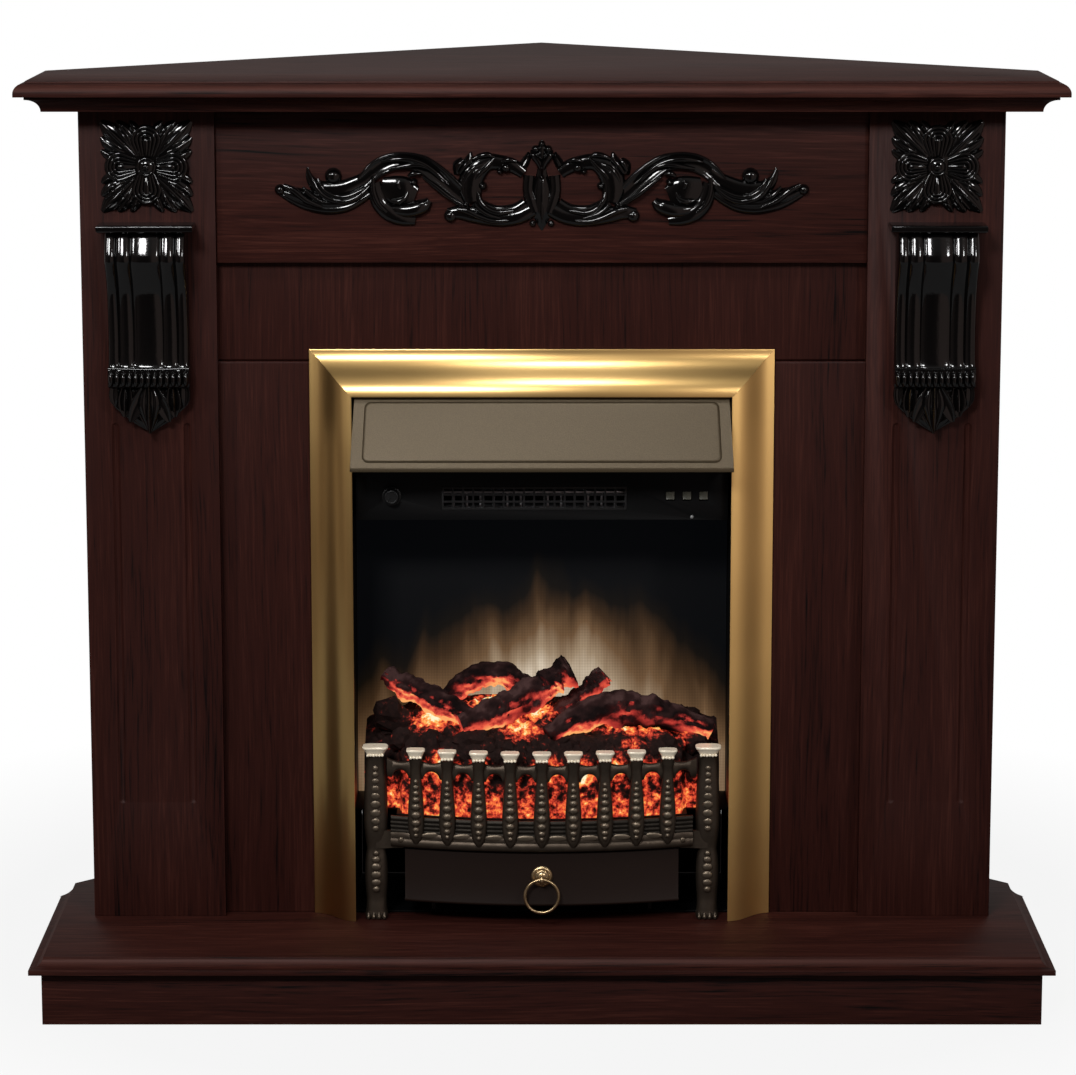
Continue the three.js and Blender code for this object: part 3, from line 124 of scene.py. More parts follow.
def spread(tree, value, from_low, from_high, to_low=0.0, to_high=1.0):
    """A value whose span is drawn out to another one."""
    spans = {"From Min": from_low, "From Max": from_high, "To Min": to_low, "To Max": to_high}
    return added(tree, "MapRange", {"Value": value} | spans)["Result"]


def mixed(tree, factor, a, b, data_type="RGBA", **settings):
    """Two colours or values in one; factor is b's share."""
    feeds = {"Factor": factor, "A": a, "B": b}
    return added(tree, "Mix", feeds, data_type=data_type, **settings)["Result"]


def shades(tree, factor, stops, interpolation="LINEAR"):
    """A ramp of colours. Its stops have a place each, from 0 for the first to 1 for the last."""
    ramp = tree.nodes.new("ShaderNodeValToRGB")
    ramp.color_ramp.interpolation = interpolation
    elements = ramp.color_ramp.elements
    for position, colour in stops[1:-1]:
        elements.new(position).color = (*colour, 1)
    elements[0].color = (*stops[0][1], 1)
    elements[-1].color = (*stops[-1][1], 1)
    link(tree, factor, ramp.inputs["Fac"])
    return ramp.outputs["Color"]


bpy.ops.mesh.primitive_plane_add(size=1, location=(0, (sheet_front + sheet_back) / 2, 0))
studio_floor = bpy.context.object
studio_floor.name = "studio_floor"
studio_floor.scale = (2 * sheet_half, sheet_back - sheet_front, 1)
bpy.ops.object.transform_apply()
floor_white, tree, shader = new_material("floor_white")
shader.inputs["Base Color"].default_value = (sheet_grey, sheet_grey, sheet_grey, 1)
shader.inputs["Roughness"].default_value = 0.9
shader.inputs["Specular IOR Level"].default_value = 0.0
distance = added(tree, "VectorMath", {0: added(tree, "TexCoord")["Object"]}, operation="LENGTH")["Value"]
white = spread(tree, distance, white_from, white_at, white_near, white_far)
seen = added(tree, "LightPath")
seen_share = value_of(tree, "MULTIPLY_ADD", seen["Is Glossy Ray"], white_in_gloss, seen["Is Camera Ray"])
white_share = value_of(tree, "MULTIPLY", white, seen_share)
paper = added(tree, "Emission", {"Strength": 1.0})["Emission"]
sheet = added(tree, "MixShader", {"Fac": white_share, 1: shader.outputs["BSDF"], 2: paper})["Shader"]
link(tree, sheet, tree.nodes["Material Output"].inputs["Surface"])
studio_floor.data.materials.append(floor_white)

# The room. Seen directly it is white. In gloss it is a pale wall behind the fireplace, a bright ceiling,
# a dark middle in front, an even pale wall on the right, and curtains in folds on the left.
room_dim = 0.19  # its light on what isn't glossy
folds = (
    (0.015, 0.03), (0.03, 0.20), (0.05, 0.02), (0.085, 0.14), (0.11, 0.05), (0.15, 0.20), (0.19, 0.03),
    (0.25, 0.11), (0.34, 0.04), (0.48, 0.025), (0.56, 0.04), (0.61, 0.30), (0.75, 0.31), (0.86, 0.28),
    (0.93, 0.27),
)
world = bpy.data.worlds.new("studio_room")
scene.world = world
world.use_nodes = True
tree = world.node_tree
direction = added(tree, "SeparateXYZ", {"Vector": added(tree, "TexCoord")["Generated"]})
room_stops = [(0.0, (0.30, 0.26, 0.24))]
room_stops += [(position, (shade, shade * 0.76, shade * 0.68)) for position, shade in folds]
room_stops.append((1.0, (0.27, 0.20, 0.175)))
gloss_sees = shades(tree, spread(tree, direction["X"], -1.0, 1.0), room_stops)
gloss_sees = mixed(tree, spread(tree, direction["Y"], 0.1, 0.7), gloss_sees, (0.34, 0.31, 0.30, 1))
gloss_sees = mixed(tree, spread(tree, direction["Z"], 0.35, 0.75), gloss_sees, (0.26, 0.25, 0.24, 1))
seen = added(tree, "LightPath")
in_gloss = value_of(tree, "MAXIMUM", seen["Is Glossy Ray"], seen["Is Transmission Ray"])
room_light = mixed(tree, in_gloss, (room_dim, room_dim, room_dim, 1), gloss_sees)
room_light = mixed(tree, seen["Is Camera Ray"], room_light, (1, 1, 1, 1))
background = tree.nodes["Background"]
link(tree, room_light, background.inputs["Color"])
background.inputs["Strength"].default_value = 1.0


def softbox(name, place, aim, width, height, watts):
    """A soft rectangular lamp that points at aim."""
    bpy.ops.object.light_add(type="AREA", location=place)
    lamp = bpy.context.object
    lamp.name = name
    lamp.data.shape = "RECTANGLE"
    lamp.data.size = width
    lamp.data.size_y = height
    lamp.data.energy = watts
    lamp.rotation_euler = (Vector(aim) - Vector(place)).to_track_quat("-Z", "Y").to_euler()
    return lamp


softbox("key_softbox", (-1.1, -3.6, 2.9), (0, -0.2, 0.5), 1.0, 0.7, 92)
softbox("right_softbox", (2.2, -3.2, 2.3), (0, -0.2, 0.5), 0.45, 0.45, 26)
softbox("left_lamp", (-2.6, -2.4, 2.4), (0, -0.2, 0.6), 0.35, 0.35, 20)
softbox("overhead_lamp", (0.1, -1.4, 3.0), (0, -0.2, 0.6), 0.45, 0.35, 17)

# ---------------------------------------------------------------- veneered boards
# The surround's boards are particle board in a dark red-brown veneer with open pores. The grain runs
# up on the pilasters, facing and sides, and across on the frieze, mantel, hearth and plinth.
def speckle(tree, vector, scale, detail, roughness=0.5):
    """Noise at a place, from 0 to 1."""
    feeds = {"Vector": vector, "Scale": scale, "Detail": detail, "Roughness": roughness}
    return added(tree, "TexNoise", feeds)["Fac"]


def drawn_along(tree, vector, axis, long, fine):
    """A place whose pattern is long on one axis and fine on the two others."""
    scale = [long if each == axis else fine for each in range(3)]
    return added(tree, "Mapping", {"Vector": vector, "Scale": scale})["Vector"]


def in_relief(tree, height, strength, depth):
    """Relief in a finish; depth is in mm."""
    bump = added(tree, "Bump", {"Height": height, "Strength": strength, "Distance": depth * mm})
    link(tree, bump["Normal"], tree.nodes["Principled BSDF"].inputs["Normal"])


def upward_of(tree):
    """How far a face looks up, from -1 to 1."""
    return added(tree, "SeparateXYZ", {"Vector": added(tree, "NewGeometry")["Normal"]})["Z"]


def veneer(name, along, tint=1.0, contrast=1.0, edge_highlight=0.0):
    """Veneer whose grain runs along one axis of the frame, 0 for X and 2 for Z."""
    material, tree, shader = new_material(name)
    place = added(tree, "TexCoord")["Object"]
    # a slow wander bends the grain lines
    slow = drawn_along(tree, place, along, 2.2, 9.0)
    wander = added(tree, "TexNoise", {"Vector": slow, "Scale": 1.0, "Detail": 2.0})["Color"]
    bend = {0: wander, 1: (0.022, 0.022, 0.022), 2: place}
    bent = added(tree, "VectorMath", bend, operation="MULTIPLY_ADD")["Vector"]
    lines, pores, bands = [
        speckle(tree, drawn_along(tree, bent, along, long, fine), 1.0, detail, 0.6)
        for long, fine, detail in ((6.0, 330.0, 3.0), (18.0, 620.0, 2.0), (1.1, 22.0, 2.0))
    ]
    grain = mixed(tree, 0.30, mixed(tree, 0.5, lines, pores, "FLOAT"), bands, "FLOAT")
    darkest, middle, palest = (0.0030, 0.0006, 0.0005), (0.0240, 0.0058, 0.0041), (0.0440, 0.0122, 0.0084)
    wood_stops = [
        (position, [tint * max(0.001, m + (c - m) * contrast) for c, m in zip(colour, middle)])
        for position, colour in ((0.0, darkest), (0.42, middle), (1.0, palest))
    ]
    wood = shades(tree, spread(tree, grain, 0.33, 0.67), wood_stops, "EASE")
    # painted highlight: mouldings are painted paler where they turn from up to front, where the light catches
    # their edges
    off_turn = value_of(tree, "ABSOLUTE", value_of(tree, "SUBTRACT", upward_of(tree), 0.55))
    painted_highlight = spread(tree, off_turn, 0.40, 0.0, 0.0, edge_highlight)
    link(tree, mixed(tree, painted_highlight, wood, (0.085, 0.030, 0.022, 1)), shader.inputs["Base Color"])
    link(tree, spread(tree, pores, 0.0, 1.0, 0.60, 0.42), shader.inputs["Roughness"])
    shader.inputs["Specular IOR Level"].default_value = 0.11
    in_relief(tree, grain, 0.3, 0.2)
    return material


veneer_up = veneer("veneer_grain_up", 2)
veneer_across = veneer("veneer_grain_across", 0, tint=1.08, contrast=1.5)
# the moulded boards' veneer carries a painted highlight along its moulded edges
veneer_moulded = veneer("veneer_moulded", 0, tint=1.02, contrast=1.5, edge_highlight=0.5)


def only(piece):
    """Selects one object and makes it active."""
    bpy.ops.object.select_all(action="DESELECT")
    piece.select_set(True)
    bpy.context.view_layer.objects.active = piece


def set_down(piece, name, body, slot, material, *nodes_replaced):
    """Fixes a finished piece's place in its mesh and gives it its name, finish and body."""
    only(piece)
    bpy.ops.object.transform_apply()
    piece.name = name
    if material is not None:
        piece.data.materials.clear()
        piece.data.materials.append(material)
    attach(piece, body)
    if nodes_replaced:
        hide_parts(*nodes_replaced)
    piece.select_set(False)
    return piece


def smooth(piece, degrees=35):
    only(piece)
    bpy.ops.object.shade_smooth_by_angle(angle=math.radians(degrees))


def ease(piece, width, limit, steps=2):
    """Rounds the edges that are sharper than limit degrees, width mm wide."""
    only(piece)
    bpy.ops.object.modifier_add(type="BEVEL")
    bevel = piece.modifiers[-1]
    bevel.width = width * mm
    bevel.segments = steps
    bevel.limit_method = "ANGLE"
    bevel.angle_limit = math.radians(limit)
    bpy.ops.object.modifier_apply(modifier=bevel.name)


def in_edit_mode(piece, *operators):
    """Runs operators on the whole of one mesh, each with its settings."""
    only(piece)
    bpy.ops.object.mode_set(mode="EDIT")
    bpy.ops.mesh.select_all(action="SELECT")
    for operator, settings in operators:
        operator(**settings)
    bpy.ops.object.mode_set(mode="OBJECT")


merge_doubles = (bpy.ops.mesh.remove_doubles, {"threshold": 0.01 * mm})
merge_flats = (bpy.ops.mesh.dissolve_limited, {"angle_limit": math.radians(0.5)})


def eased(node, width, name, body, slot, material, steps=2, limit=30):
    """A node's own shape, its points merged and its sharp edges rounded as a maker leaves them."""
    piece = bpy.data.objects.new(name, nodes[node].data.copy())
    scene.collection.objects.link(piece)
    in_edit_mode(piece, merge_doubles, merge_flats)
    ease(piece, width, limit, steps)
    smooth(piece)
    return set_down(piece, name, body, slot, material, node)


upright_boards = [
    "pilaster_left", "pilaster_right", "facade_left_board", "facade_right_board", "facade_lintel",
    "side_panel_left", "side_panel_right",
]
level_boards = [
    "frieze_board", "plinth_front", "plinth_side_left", "plinth_side_right",
    "plinth_wall_left", "plinth_wall_right",
]
for node in upright_boards:
    eased(node, 0.5, node + "_veneered", "fireplace", "veneer", veneer_up)
for node in level_boards:
    eased(node, 0.5, node + "_veneered", "fireplace", "veneer", veneer_across)

# ---------------------------------------------------------------- hearth board and mantel
# The three level boards fill the corner of the room: a straight front, two short sides and two long
# edges along the walls. Their front and sides are moulded: a cove on the hearth board and under the
# mantel, and a rounded edge with a fillet on the mantel itself.
corner_depth = 645  # from the pilasters' face to the corner of the room


def at(x, y, z):
    """A point given in mm, with y counted from the pilasters' face."""
    return Vector((x * mm, pilaster_face + y * mm, z * mm))


def drawn_out(rings):
    """A solid extruded ring by ring. Each ring has the same number of points, in mm."""
    bpy.ops.mesh.primitive_circle_add(vertices=len(rings[0]), fill_type="NGON")
    piece = bpy.context.object
    bpy.ops.object.mode_set(mode="EDIT")
    mesh = bmesh.from_edit_mesh(piece.data)
    mesh.verts.ensure_lookup_table()
    ends = list(mesh.verts)
    for point, place in zip(ends, rings[0]):
        point.co = at(*place)
    for ring in rings[1:]:
        number = {tuple(point.co): i for i, point in enumerate(ends)}
        bpy.ops.mesh.extrude_region()
        mesh = bmesh.from_edit_mesh(piece.data)
        ends = [None] * len(ring)
        for point in mesh.verts:
            if point.select:
                ends[number[tuple(point.co)]] = point
        for point, place in zip(ends, ring):
            point.co = at(*place)
    bpy.ops.mesh.select_all(action="SELECT")
    bpy.ops.mesh.remove_doubles(threshold=0.002 * mm)
    bpy.ops.mesh.normals_make_consistent(inside=False)
    bmesh.update_edit_mesh(piece.data)
    bpy.ops.object.mode_set(mode="OBJECT")
    return piece


def moulded_board(node, half, front, bottom, moulding):
    """A board that fills the corner, drawn up through the steps of its moulding: inset and height."""
    rings = []
    for inset, height in moulding:
        side = half - inset
        outline = [
            (-side, front + inset), (side, front + inset), (side, corner_depth - side),
            (0, corner_depth), (-side, corner_depth - side),
        ]
        rings.append([(x, y, bottom + height) for x, y in outline])
    piece = drawn_out(rings)
    ease(piece, 0.5, 40)
    smooth(piece)
    return set_down(piece, node + "_moulded", "fireplace", "veneer", veneer_moulded, node)


quarter = [math.radians(90 * i / 18) for i in range(19)]
moulded_board(
    "base_top_board", 528, -166, 56, [(0, 0)] + [(14 * math.sin(a), 16 - 10.5 * math.cos(a)) for a in quarter]
)
moulded_board(
    "cornice_board", 526.5, -49, 931, [(15 * math.cos(a), 13 * math.sin(a)) for a in quarter] + [(0, 16)]
)
moulded_board(
    "mantel_top", 536.5, -59, 947.3,
    [(0, 0)] + [(11.4 * (1 - math.cos(a)), 3.3 + 10.7 * math.sin(a)) for a in quarter] + [(11.4, 16)],
)

# ---------------------------------------------------------------- carved ornaments
# Moulded acanthus ornaments in gloss black lacquer, glued to the frieze and the pilasters. Every leaf
# and scroll is one stroke: a section drawn along a line, wide in the middle and thin at its tip.
def flecked(name, fleck, dark, light, roughness, metallic=0.0, specular=0.5, relief=None):
    """A finish that wavers between two colours. Fleck is the scale, detail and roughness of its noise.

    Roughness is one value, or its two ends. Relief is a strength and a depth in mm.
    """
    material, tree, shader = new_material(name)
    shader.inputs["Metallic"].default_value = metallic
    shader.inputs["Specular IOR Level"].default_value = specular
    flecks = speckle(tree, added(tree, "TexCoord")["Object"], *fleck)
    link(tree, mixed(tree, flecks, (*dark, 1), (*light, 1)), shader.inputs["Base Color"])
    if isinstance(roughness, tuple):
        link(tree, spread(tree, flecks, 0.0, 1.0, *roughness), shader.inputs["Roughness"])
    else:
        shader.inputs["Roughness"].default_value = roughness
    if relief:
        in_relief(tree, flecks, *relief)
    return material


black_lacquer = flecked(
    "black_lacquer", (320.0, 2.0), (0.0012, 0.0011, 0.0012), (0.0026, 0.0022, 0.0022), 0.10,
    specular=0.48, relief=(0.25, 0.25),
)


def across_section(height, count=14, skirt=0.35):
    """A stroke's section: its height over the width from -1 to 1, closed a little below the face."""
    xs = [-math.cos(math.pi * i / count) for i in range(count + 1)]
    return [(-1, -skirt)] + [(x, height(x)) for x in xs] + [(1, -skirt)]


sections = {
    "keeled": across_section(lambda x: 1.0 - abs(x) ** 1.35),
    "scooped": across_section(lambda x: (0.36 + 0.62 * x * x) * (1 - abs(x) ** 9) ** 0.5, 20),
    "reeded": across_section(
        lambda x: (1 - x * x) ** 0.5 * (0.72 + 0.28 * abs(math.cos(1.5 * math.pi * x))), 28
    ),
    "round": across_section(lambda x: (1 - x * x) ** 0.5, 14),
}


def flowing(points, steps):
    """Places on a smooth line through the given ones; each has its position and half width."""
    line = []
    for i in range(len(points) - 1):
        a, b, c, d = points[max(i - 1, 0)], points[i], points[i + 1], points[min(i + 2, len(points) - 1)]
        for step in range(steps):
            t = step / steps
            line.append(tuple(
                0.5 * (
                    2 * q + (r - p) * t + (2 * p - 5 * q + 4 * r - s) * t * t
                    + (3 * q - p - 3 * r + s) * t ** 3
                )
                for p, q, r, s in zip(a, b, c, d)
            ))
    line.append(tuple(points[-1]))
    return line


def carved(points, section, relief=1.0, lift=0.0, steps=5):
    """One stroke on the face: points are across, up and half width in mm."""
    outline = [(x, height * relief, 1) for x, height in sections[section]]
    line = [(x * mm, z * mm, max(half, 0.15) * mm) for x, z, half in flowing(points, steps)]
    curves = []
    for places in (outline, line):
        bpy.ops.curve.primitive_nurbs_path_add()
        curve = bpy.context.object
        curve.data.splines.clear()
        curve.data.dimensions = "2D"
        spline = curve.data.splines.new("POLY")
        spline.points.add(len(places) - 1)
        for point, (x, y, radius) in zip(spline.points, places):
            point.co = (x, y, 0, 1)
            point.radius = radius
        spline.use_cyclic_u = places is outline
        curves.append(curve)
    profile, path = curves
    path.data.bevel_mode = "OBJECT"
    path.data.bevel_object = profile
    path.data.use_fill_caps = True
    only(path)
    bpy.ops.object.convert(target="MESH")
    bpy.data.objects.remove(profile)
    path.location.z = lift * mm
    bpy.ops.object.transform_apply()
    return path


def bead(x, z, radius, relief=1.0, sides=16):
    """A round drop on the face."""
    bpy.ops.mesh.primitive_uv_sphere_add(segments=sides, ring_count=10, radius=radius * mm)
    drop = bpy.context.object
    drop.scale.z = relief
    drop.location = (x * mm, z * mm, 0)
    bpy.ops.object.transform_apply()
    return drop


def joined(pieces):
    bpy.ops.object.select_all(action="DESELECT")
    for piece in pieces:
        piece.select_set(True)
    bpy.context.view_layer.objects.active = pieces[0]
    bpy.ops.object.join()
    return bpy.context.object


def copied(piece):
    only(piece)
    bpy.ops.object.duplicate()
    return bpy.context.object


def turned_over(piece, across=1, up=1):
    """A mirror image on the face, across or up where that is -1, with its faces outward again."""
    twin = copied(piece)
    twin.scale = (across, up, 1)
    bpy.ops.object.transform_apply()
    in_edit_mode(twin, (bpy.ops.mesh.flip_normals, {}))
    return twin


def stood_up(piece, x, depth, z, limit=50):
    """Stands a flat-drawn carving against the surround: its face is depth mm behind the pilasters'."""
    in_edit_mode(piece, merge_doubles)
    piece.rotation_euler = (math.radians(90), 0, 0)
    piece.location = at(x, depth, z)
    bpy.ops.object.transform_apply()
    smooth(piece, limit)


# Frieze ornament: the right half of a symmetric acanthus scroll, then its mirror and the finial.
# Broad strokes make its body, and narrow ridges along them catch the light.
frieze_depth, scroll_height = 6.0, 853  # the frieze behind the pilasters, and the scroll's middle
scroll_body = [
    # outer leaf from its tip, and the leaf behind the bud
    ([(274.5, -5, 3.6), (264, -8, 7.5), (251, -13, 10), (237, -17, 11.5), (221, -19, 12), (205, -18, 11),
      (192, -13, 9.5), (180, -6, 8)], "reeded", 0.55),
    ([(242, 18, 1), (240, 8, 4), (233, -1, 7), (221, -5, 9), (207, -4, 9), (196, 0, 8), (184, 6, 7),
      (174, 14, 7)], "round", 0.55),
    # the long wave, up to its crest and down again
    ([(192, -5, 6), (182, 6, 8), (170, 17, 9.5), (156, 23.5, 9.5), (140, 25, 9), (124, 21.5, 9.5),
      (110, 12, 10.5), (98, 1, 11), (86, -10, 10.5), (74, -19, 8)], "scooped", 0.75),
    # round scroll under the crest, with its bulb
    ([(174, 2, 8), (171, -10, 8.5), (166, -21, 9), (156, -30, 9), (144, -35, 7.5), (131, -37, 5)], "round",
      0.7),
    ([(166, -2, 10), (154, -5, 15), (142, -8, 16), (131, -12, 11)], "round", 0.34),
    ([(160, -24, 3), (148, -26, 7), (136, -26, 8.5), (123, -22, 8), (116, -16, 4)], "round", 1.05),
    # C-scroll beside the middle
    ([(72, -17, 10), (74, -5, 12.5), (72, 8, 13), (65, 18, 12), (54, 23.5, 9), (41, 22.5, 8), (29, 19, 7.5),
      (19, 12, 6)], "round", 0.62),
    ([(79, 15, 7), (75, 26, 5), (73, 34, 1)], "keeled", 0.9),
    ([(85, 12, 6), (87, 21, 5), (82.5, 27.5, 1.5)], "keeled", 0.9),
    ([(19, 20, 5), (15, 28, 4), (14, 34, 1)], "keeled", 0.9),
    ([(97, -30, 6), (85, -28.5, 7.5), (71, -31, 8.5), (55, -34, 8.5), (39, -35, 8.5), (23, -32, 8.5),
      (9, -25, 8)], "round", 0.7),
    ([(69, -17, 7), (61, -23, 7), (47, -28, 7), (29, -26.5, 7), (17, -19, 6)], "round", 0.75),
    ([(13, 10, 6), (14, -5, 6), (11, -17, 7), (7, -28, 7)], "round", 0.9),
]
scroll_ridges = [
    [(267, 0, 1.6), (255, -6, 2.6), (243, -15.5, 2.4), (227, -22.5, 1.2)],
    [(247, -2, 1), (239, -10, 2), (226, -18, 1)],
    [(242, 17, 0.8), (237, 6, 1.8), (231, -5, 2.2), (221, -13.5, 2.2), (207, -17, 2.2), (194, -14, 2),
      (184, -7, 1.6), (178, -1, 0.8)],
    [(231, 7, 0.8), (229, 1, 1.8), (223, -7, 2), (211, -12, 2), (199, -11, 2), (188, -6, 1.6),
      (179, -1, 0.8)],
    [(166, 24, 1), (154, 26.5, 2), (143, 27, 2.4), (132, 25.5, 2.2), (120, 21, 1.8), (108, 12, 1.6),
      (96, 1, 0.8)],
    [(158, 17, 1), (146, 19, 1.8), (137, 20.5, 2.2), (127, 21, 2), (116, 17, 1.6), (102, 4, 0.8)],
    [(123, 9, 1), (110, -1, 2), (96, -12, 2), (82, -20, 1)],
    [(174, 8, 1.2), (174, -6, 2.2), (169, -19, 2.2), (160, -28, 1.2)],
    [(147, 5, 1), (148, 0, 1.7), (146, -4, 1)],
    [(138, 9, 1), (133, 12, 2), (126, 12, 1)],
    [(138.5, -7, 1), (141, -13, 1.9), (148, -16.5, 2.4), (157, -16, 1.2)],
    [(88, 14.5, 1), (84.5, 22, 2), (81, 26.5, 1)],
    [(85, 12, 1), (79.5, 20, 1.8), (74, 26, 1.8), (73.5, 33, 0.8)],
    [(80.5, 3, 1), (76.5, 11, 2), (69.5, 18.5, 2), (61, 22, 1)],
    [(74.5, 7.5, 1), (69, 14, 1.7), (62, 19, 1)],
    [(71.5, 3, 1), (64.5, 12, 2), (56, 20, 2), (49, 28, 1)],
    [(71, 27, 1), (63, 30.5, 2), (55, 31.5, 2), (50, 29, 1)],
    [(42, 24.5, 1), (34, 26.5, 1.9), (26, 24.5, 1)],
    [(88, -24.5, 1.6), (77, -27, 2.4), (65, -32.5, 2.2), (51, -37, 2), (35, -37, 1.2)],
    [(69, -20, 1), (63, -26.5, 1.9), (55, -31, 1.9), (43, -34, 1)],
    [(66, -7, 1), (64, -15.5, 2), (57, -24, 2.2), (45, -28.5, 2.2), (29, -26.5, 1.2)],
]
half_scroll = [carved(points, section, relief) for points, section, relief in scroll_body]
half_scroll += [
    carved([(x, z, 1.45 * half) for x, z, half in points], "round", 1.25, 5.2, 4) for points in scroll_ridges
]
half_scroll += [
    bead(215.5, 9, 9, 0.95), bead(270.5, -5, 6, 1.15), bead(132, 3, 4.2, 2.0), bead(94.5, -32, 7, 0.95),
    bead(37, 18, 6, 1.45), bead(43.5, 14, 3.4, 2.0), bead(61, -1, 4.5, 1.8), bead(78.5, -20, 3.6, 2.1),
]
half_scroll = joined(half_scroll)
other_half = turned_over(half_scroll, across=-1)
finial = [
    carved([(0, 46.5, 1), (0, 38, 5), (0, 28, 4.5), (0, 14, 5), (0, 2, 9), (0, -12, 12.5), (0, -26, 12),
      (0, -38, 6.5), (0, -47, 1.2)], "keeled", 0.62),
    carved([(0, 24, 0.9), (0, 17, 1.7), (0, 9, 1)], "keeled", 1.8, 4.5, 4),
    carved([(0, -16, 0.9), (0, -26, 1.7), (0, -36, 0.9)], "round", 1.3, 6.6, 4),
    bead(0, 42.5, 3.6, 1.5), bead(0, 8, 3, 2.6),
]
for sign in (-1, 1):
    petal = [(sign * 11, 36, 1), (sign * 8, 31, 4.5), (sign * 3, 24, 4.5), (0, 16, 3)]
    petal_ridge = [(sign * 10.5, 35, 0.8), (sign * 5, 29.5, 1.7), (0, 23.5, 1)]
    finial += [
        carved(petal, "round", 1.2), carved(petal_ridge, "keeled", 1.8, 4.5, 4),
        bead(sign * 6.5, 37, 4.2, 1.3), bead(sign * 9.5, -40, 3.6, 1.2),
    ]
frieze_scroll = joined([half_scroll, other_half] + finial)
stood_up(frieze_scroll, 0, frieze_depth, scroll_height)
set_down(frieze_scroll, "frieze_scroll", "fireplace", "gloss_carving", black_lacquer, "frieze_ornament")

# Rosettes: a boss with a ring, four buds of nested hoops, and an acanthus leaf into each corner.
rosette_height, pilaster_middle = 872.5, 407.5


def both_ways(points):
    """A stroke and its image on the other side of a corner's diagonal."""
    return [points, [(z, x, half) for x, z, half in points]]


leaf_middle = [(6, 6, 7), (16, 16, 11), (27, 27, 12.5), (38, 38, 9), (46.5, 46.5, 2.5)]
corner_leaf = [carved(leaf_middle, "round", 0.5)]
for points, relief in (
    ([(15, 20, 5), (19, 32, 7), (25, 41, 6), (30, 46.5, 2)], 0.75),
    ([(8, 24, 4), (10, 35, 6), (14, 43, 4), (17, 46.5, 1.5)], 0.8),
):
    corner_leaf += [carved(each, "round", relief) for each in both_ways(points)]
leaf_ridges = [[(12, 12, 1.6), (24, 24, 3), (36, 36, 3), (45, 45, 1)]]
for points in (
    [(15, 22, 1.4), (19, 32, 2.6), (27, 44, 1)], [(18, 25, 1), (25, 34, 2.2), (34, 43.5, 0.9)],
    [(9, 28, 1), (11.5, 37, 2), (16, 45, 0.8)],
):
    leaf_ridges += both_ways(points)
corner_leaf += [carved(ridge, "round", 1.3, 4.4, 4) for ridge in leaf_ridges]
corner_leaf = joined(corner_leaf)
leaf_pair = joined([corner_leaf, turned_over(corner_leaf, across=-1)])
four_leaves = joined([leaf_pair, turned_over(leaf_pair, up=-1)])
buds = [bead(0, 0, 30, 0.17, 24), bead(0, 0, 12, 0.8, 24), bead(0, 0, 6.4, 1.8, 20)]
buds += [bead(x, z, 14, 0.42, 20) for x, z in ((29, 0), (-29, 0), (0, 29), (0, -25))]
bpy.ops.mesh.primitive_torus_add(
    major_radius=8.6 * mm, minor_radius=1.6 * mm, major_segments=32, minor_segments=8,
    location=(0, 0, 7.2 * mm),
)
buds.append(bpy.context.object)


def spun(points, angle):
    """A stroke turned round the rosette's middle."""
    c, s = math.cos(angle), math.sin(angle)
    return [(x * c - z * s, x * s + z * c, half) for x, z, half in points]


for turn in range(4):
    angle = math.pi / 2 * turn
    bud = 28 if turn != 3 else 24  # the lower bud is nearer
    # hoops round the bud, the outer ones lower
    for radius, width, relief, lift in ((13.4, 2.6, 1.5, 3.4), (9.3, 2.3, 1.6, 4.4), (5.4, 2.0, 1.7, 5.2)):
        leans = [math.radians(-105 + 210 * step / 8) for step in range(9)]
        hoop = [(bud + radius * 0.95 * math.cos(lean), radius * math.sin(lean), width) for lean in leans]
        hoop = [(bud - 17, -radius * 0.55, width * 0.7)] + hoop + [(bud - 17, radius * 0.55, width * 0.7)]
        buds.append(carved(spun(hoop, angle), "round", relief, lift, 3))
    stalk = [(8, 0, 3), (18, 0, 5), (28, 0, 5.5), (33, 0, 2)]
    buds.append(carved(spun(stalk, angle), "round", 1.5, 0))
rosette = joined([four_leaves] + buds)
twin_rosette = copied(rosette)
for piece, side, x in ((rosette, "left", -pilaster_middle), (twin_rosette, "right", pilaster_middle)):
    stood_up(piece, x, -0.3, rosette_height)
    set_down(
        piece, "rosette_" + side + "_carved", "fireplace", "gloss_carving", black_lacquer, "rosette_" + side
    )

# Corbels: a cap plate on a console with five reeds that sweep in and out, a roll of beads, and a
# drooping leaf that ends in a point.
corbel_top = 815
corbel_rows = [  # drop below the cap, half width, depth, height of the reeds
    (7.6, 41.5, 28, 3), (11, 41.5, 30.5, 4), (16, 41.5, 32.6, 4), (22, 41.5, 34.8, 4), (28, 41.5, 36.8, 4),
    (33, 41.5, 38, 4), (38, 41.5, 37.4, 4), (45, 41.5, 33, 4), (55, 41.5, 26.5, 4), (68, 41.5, 20.5, 3.8),
    (84, 41.5, 16.5, 3.5), (103, 41.5, 14, 3.2), (122, 41.5, 13.4, 3), (138, 41.5, 15, 3), (148, 41.5, 18, 2),
    (153, 42, 22, 0), (169, 42, 20, 0), (173, 40.5, 12, 0.6), (186, 41, 11, 0.6), (198, 30, 10, 0.6),
    (209, 17, 8, 0.4), (218.5, 1.5, 4, 0),
]
reeds = ((0, 15), (22.5, 7.3), (36, 5.5))


def reed_height(x):
    return max(math.sqrt(max(0, 1 - ((abs(x) - middle) / half) ** 2)) for middle, half in reeds)


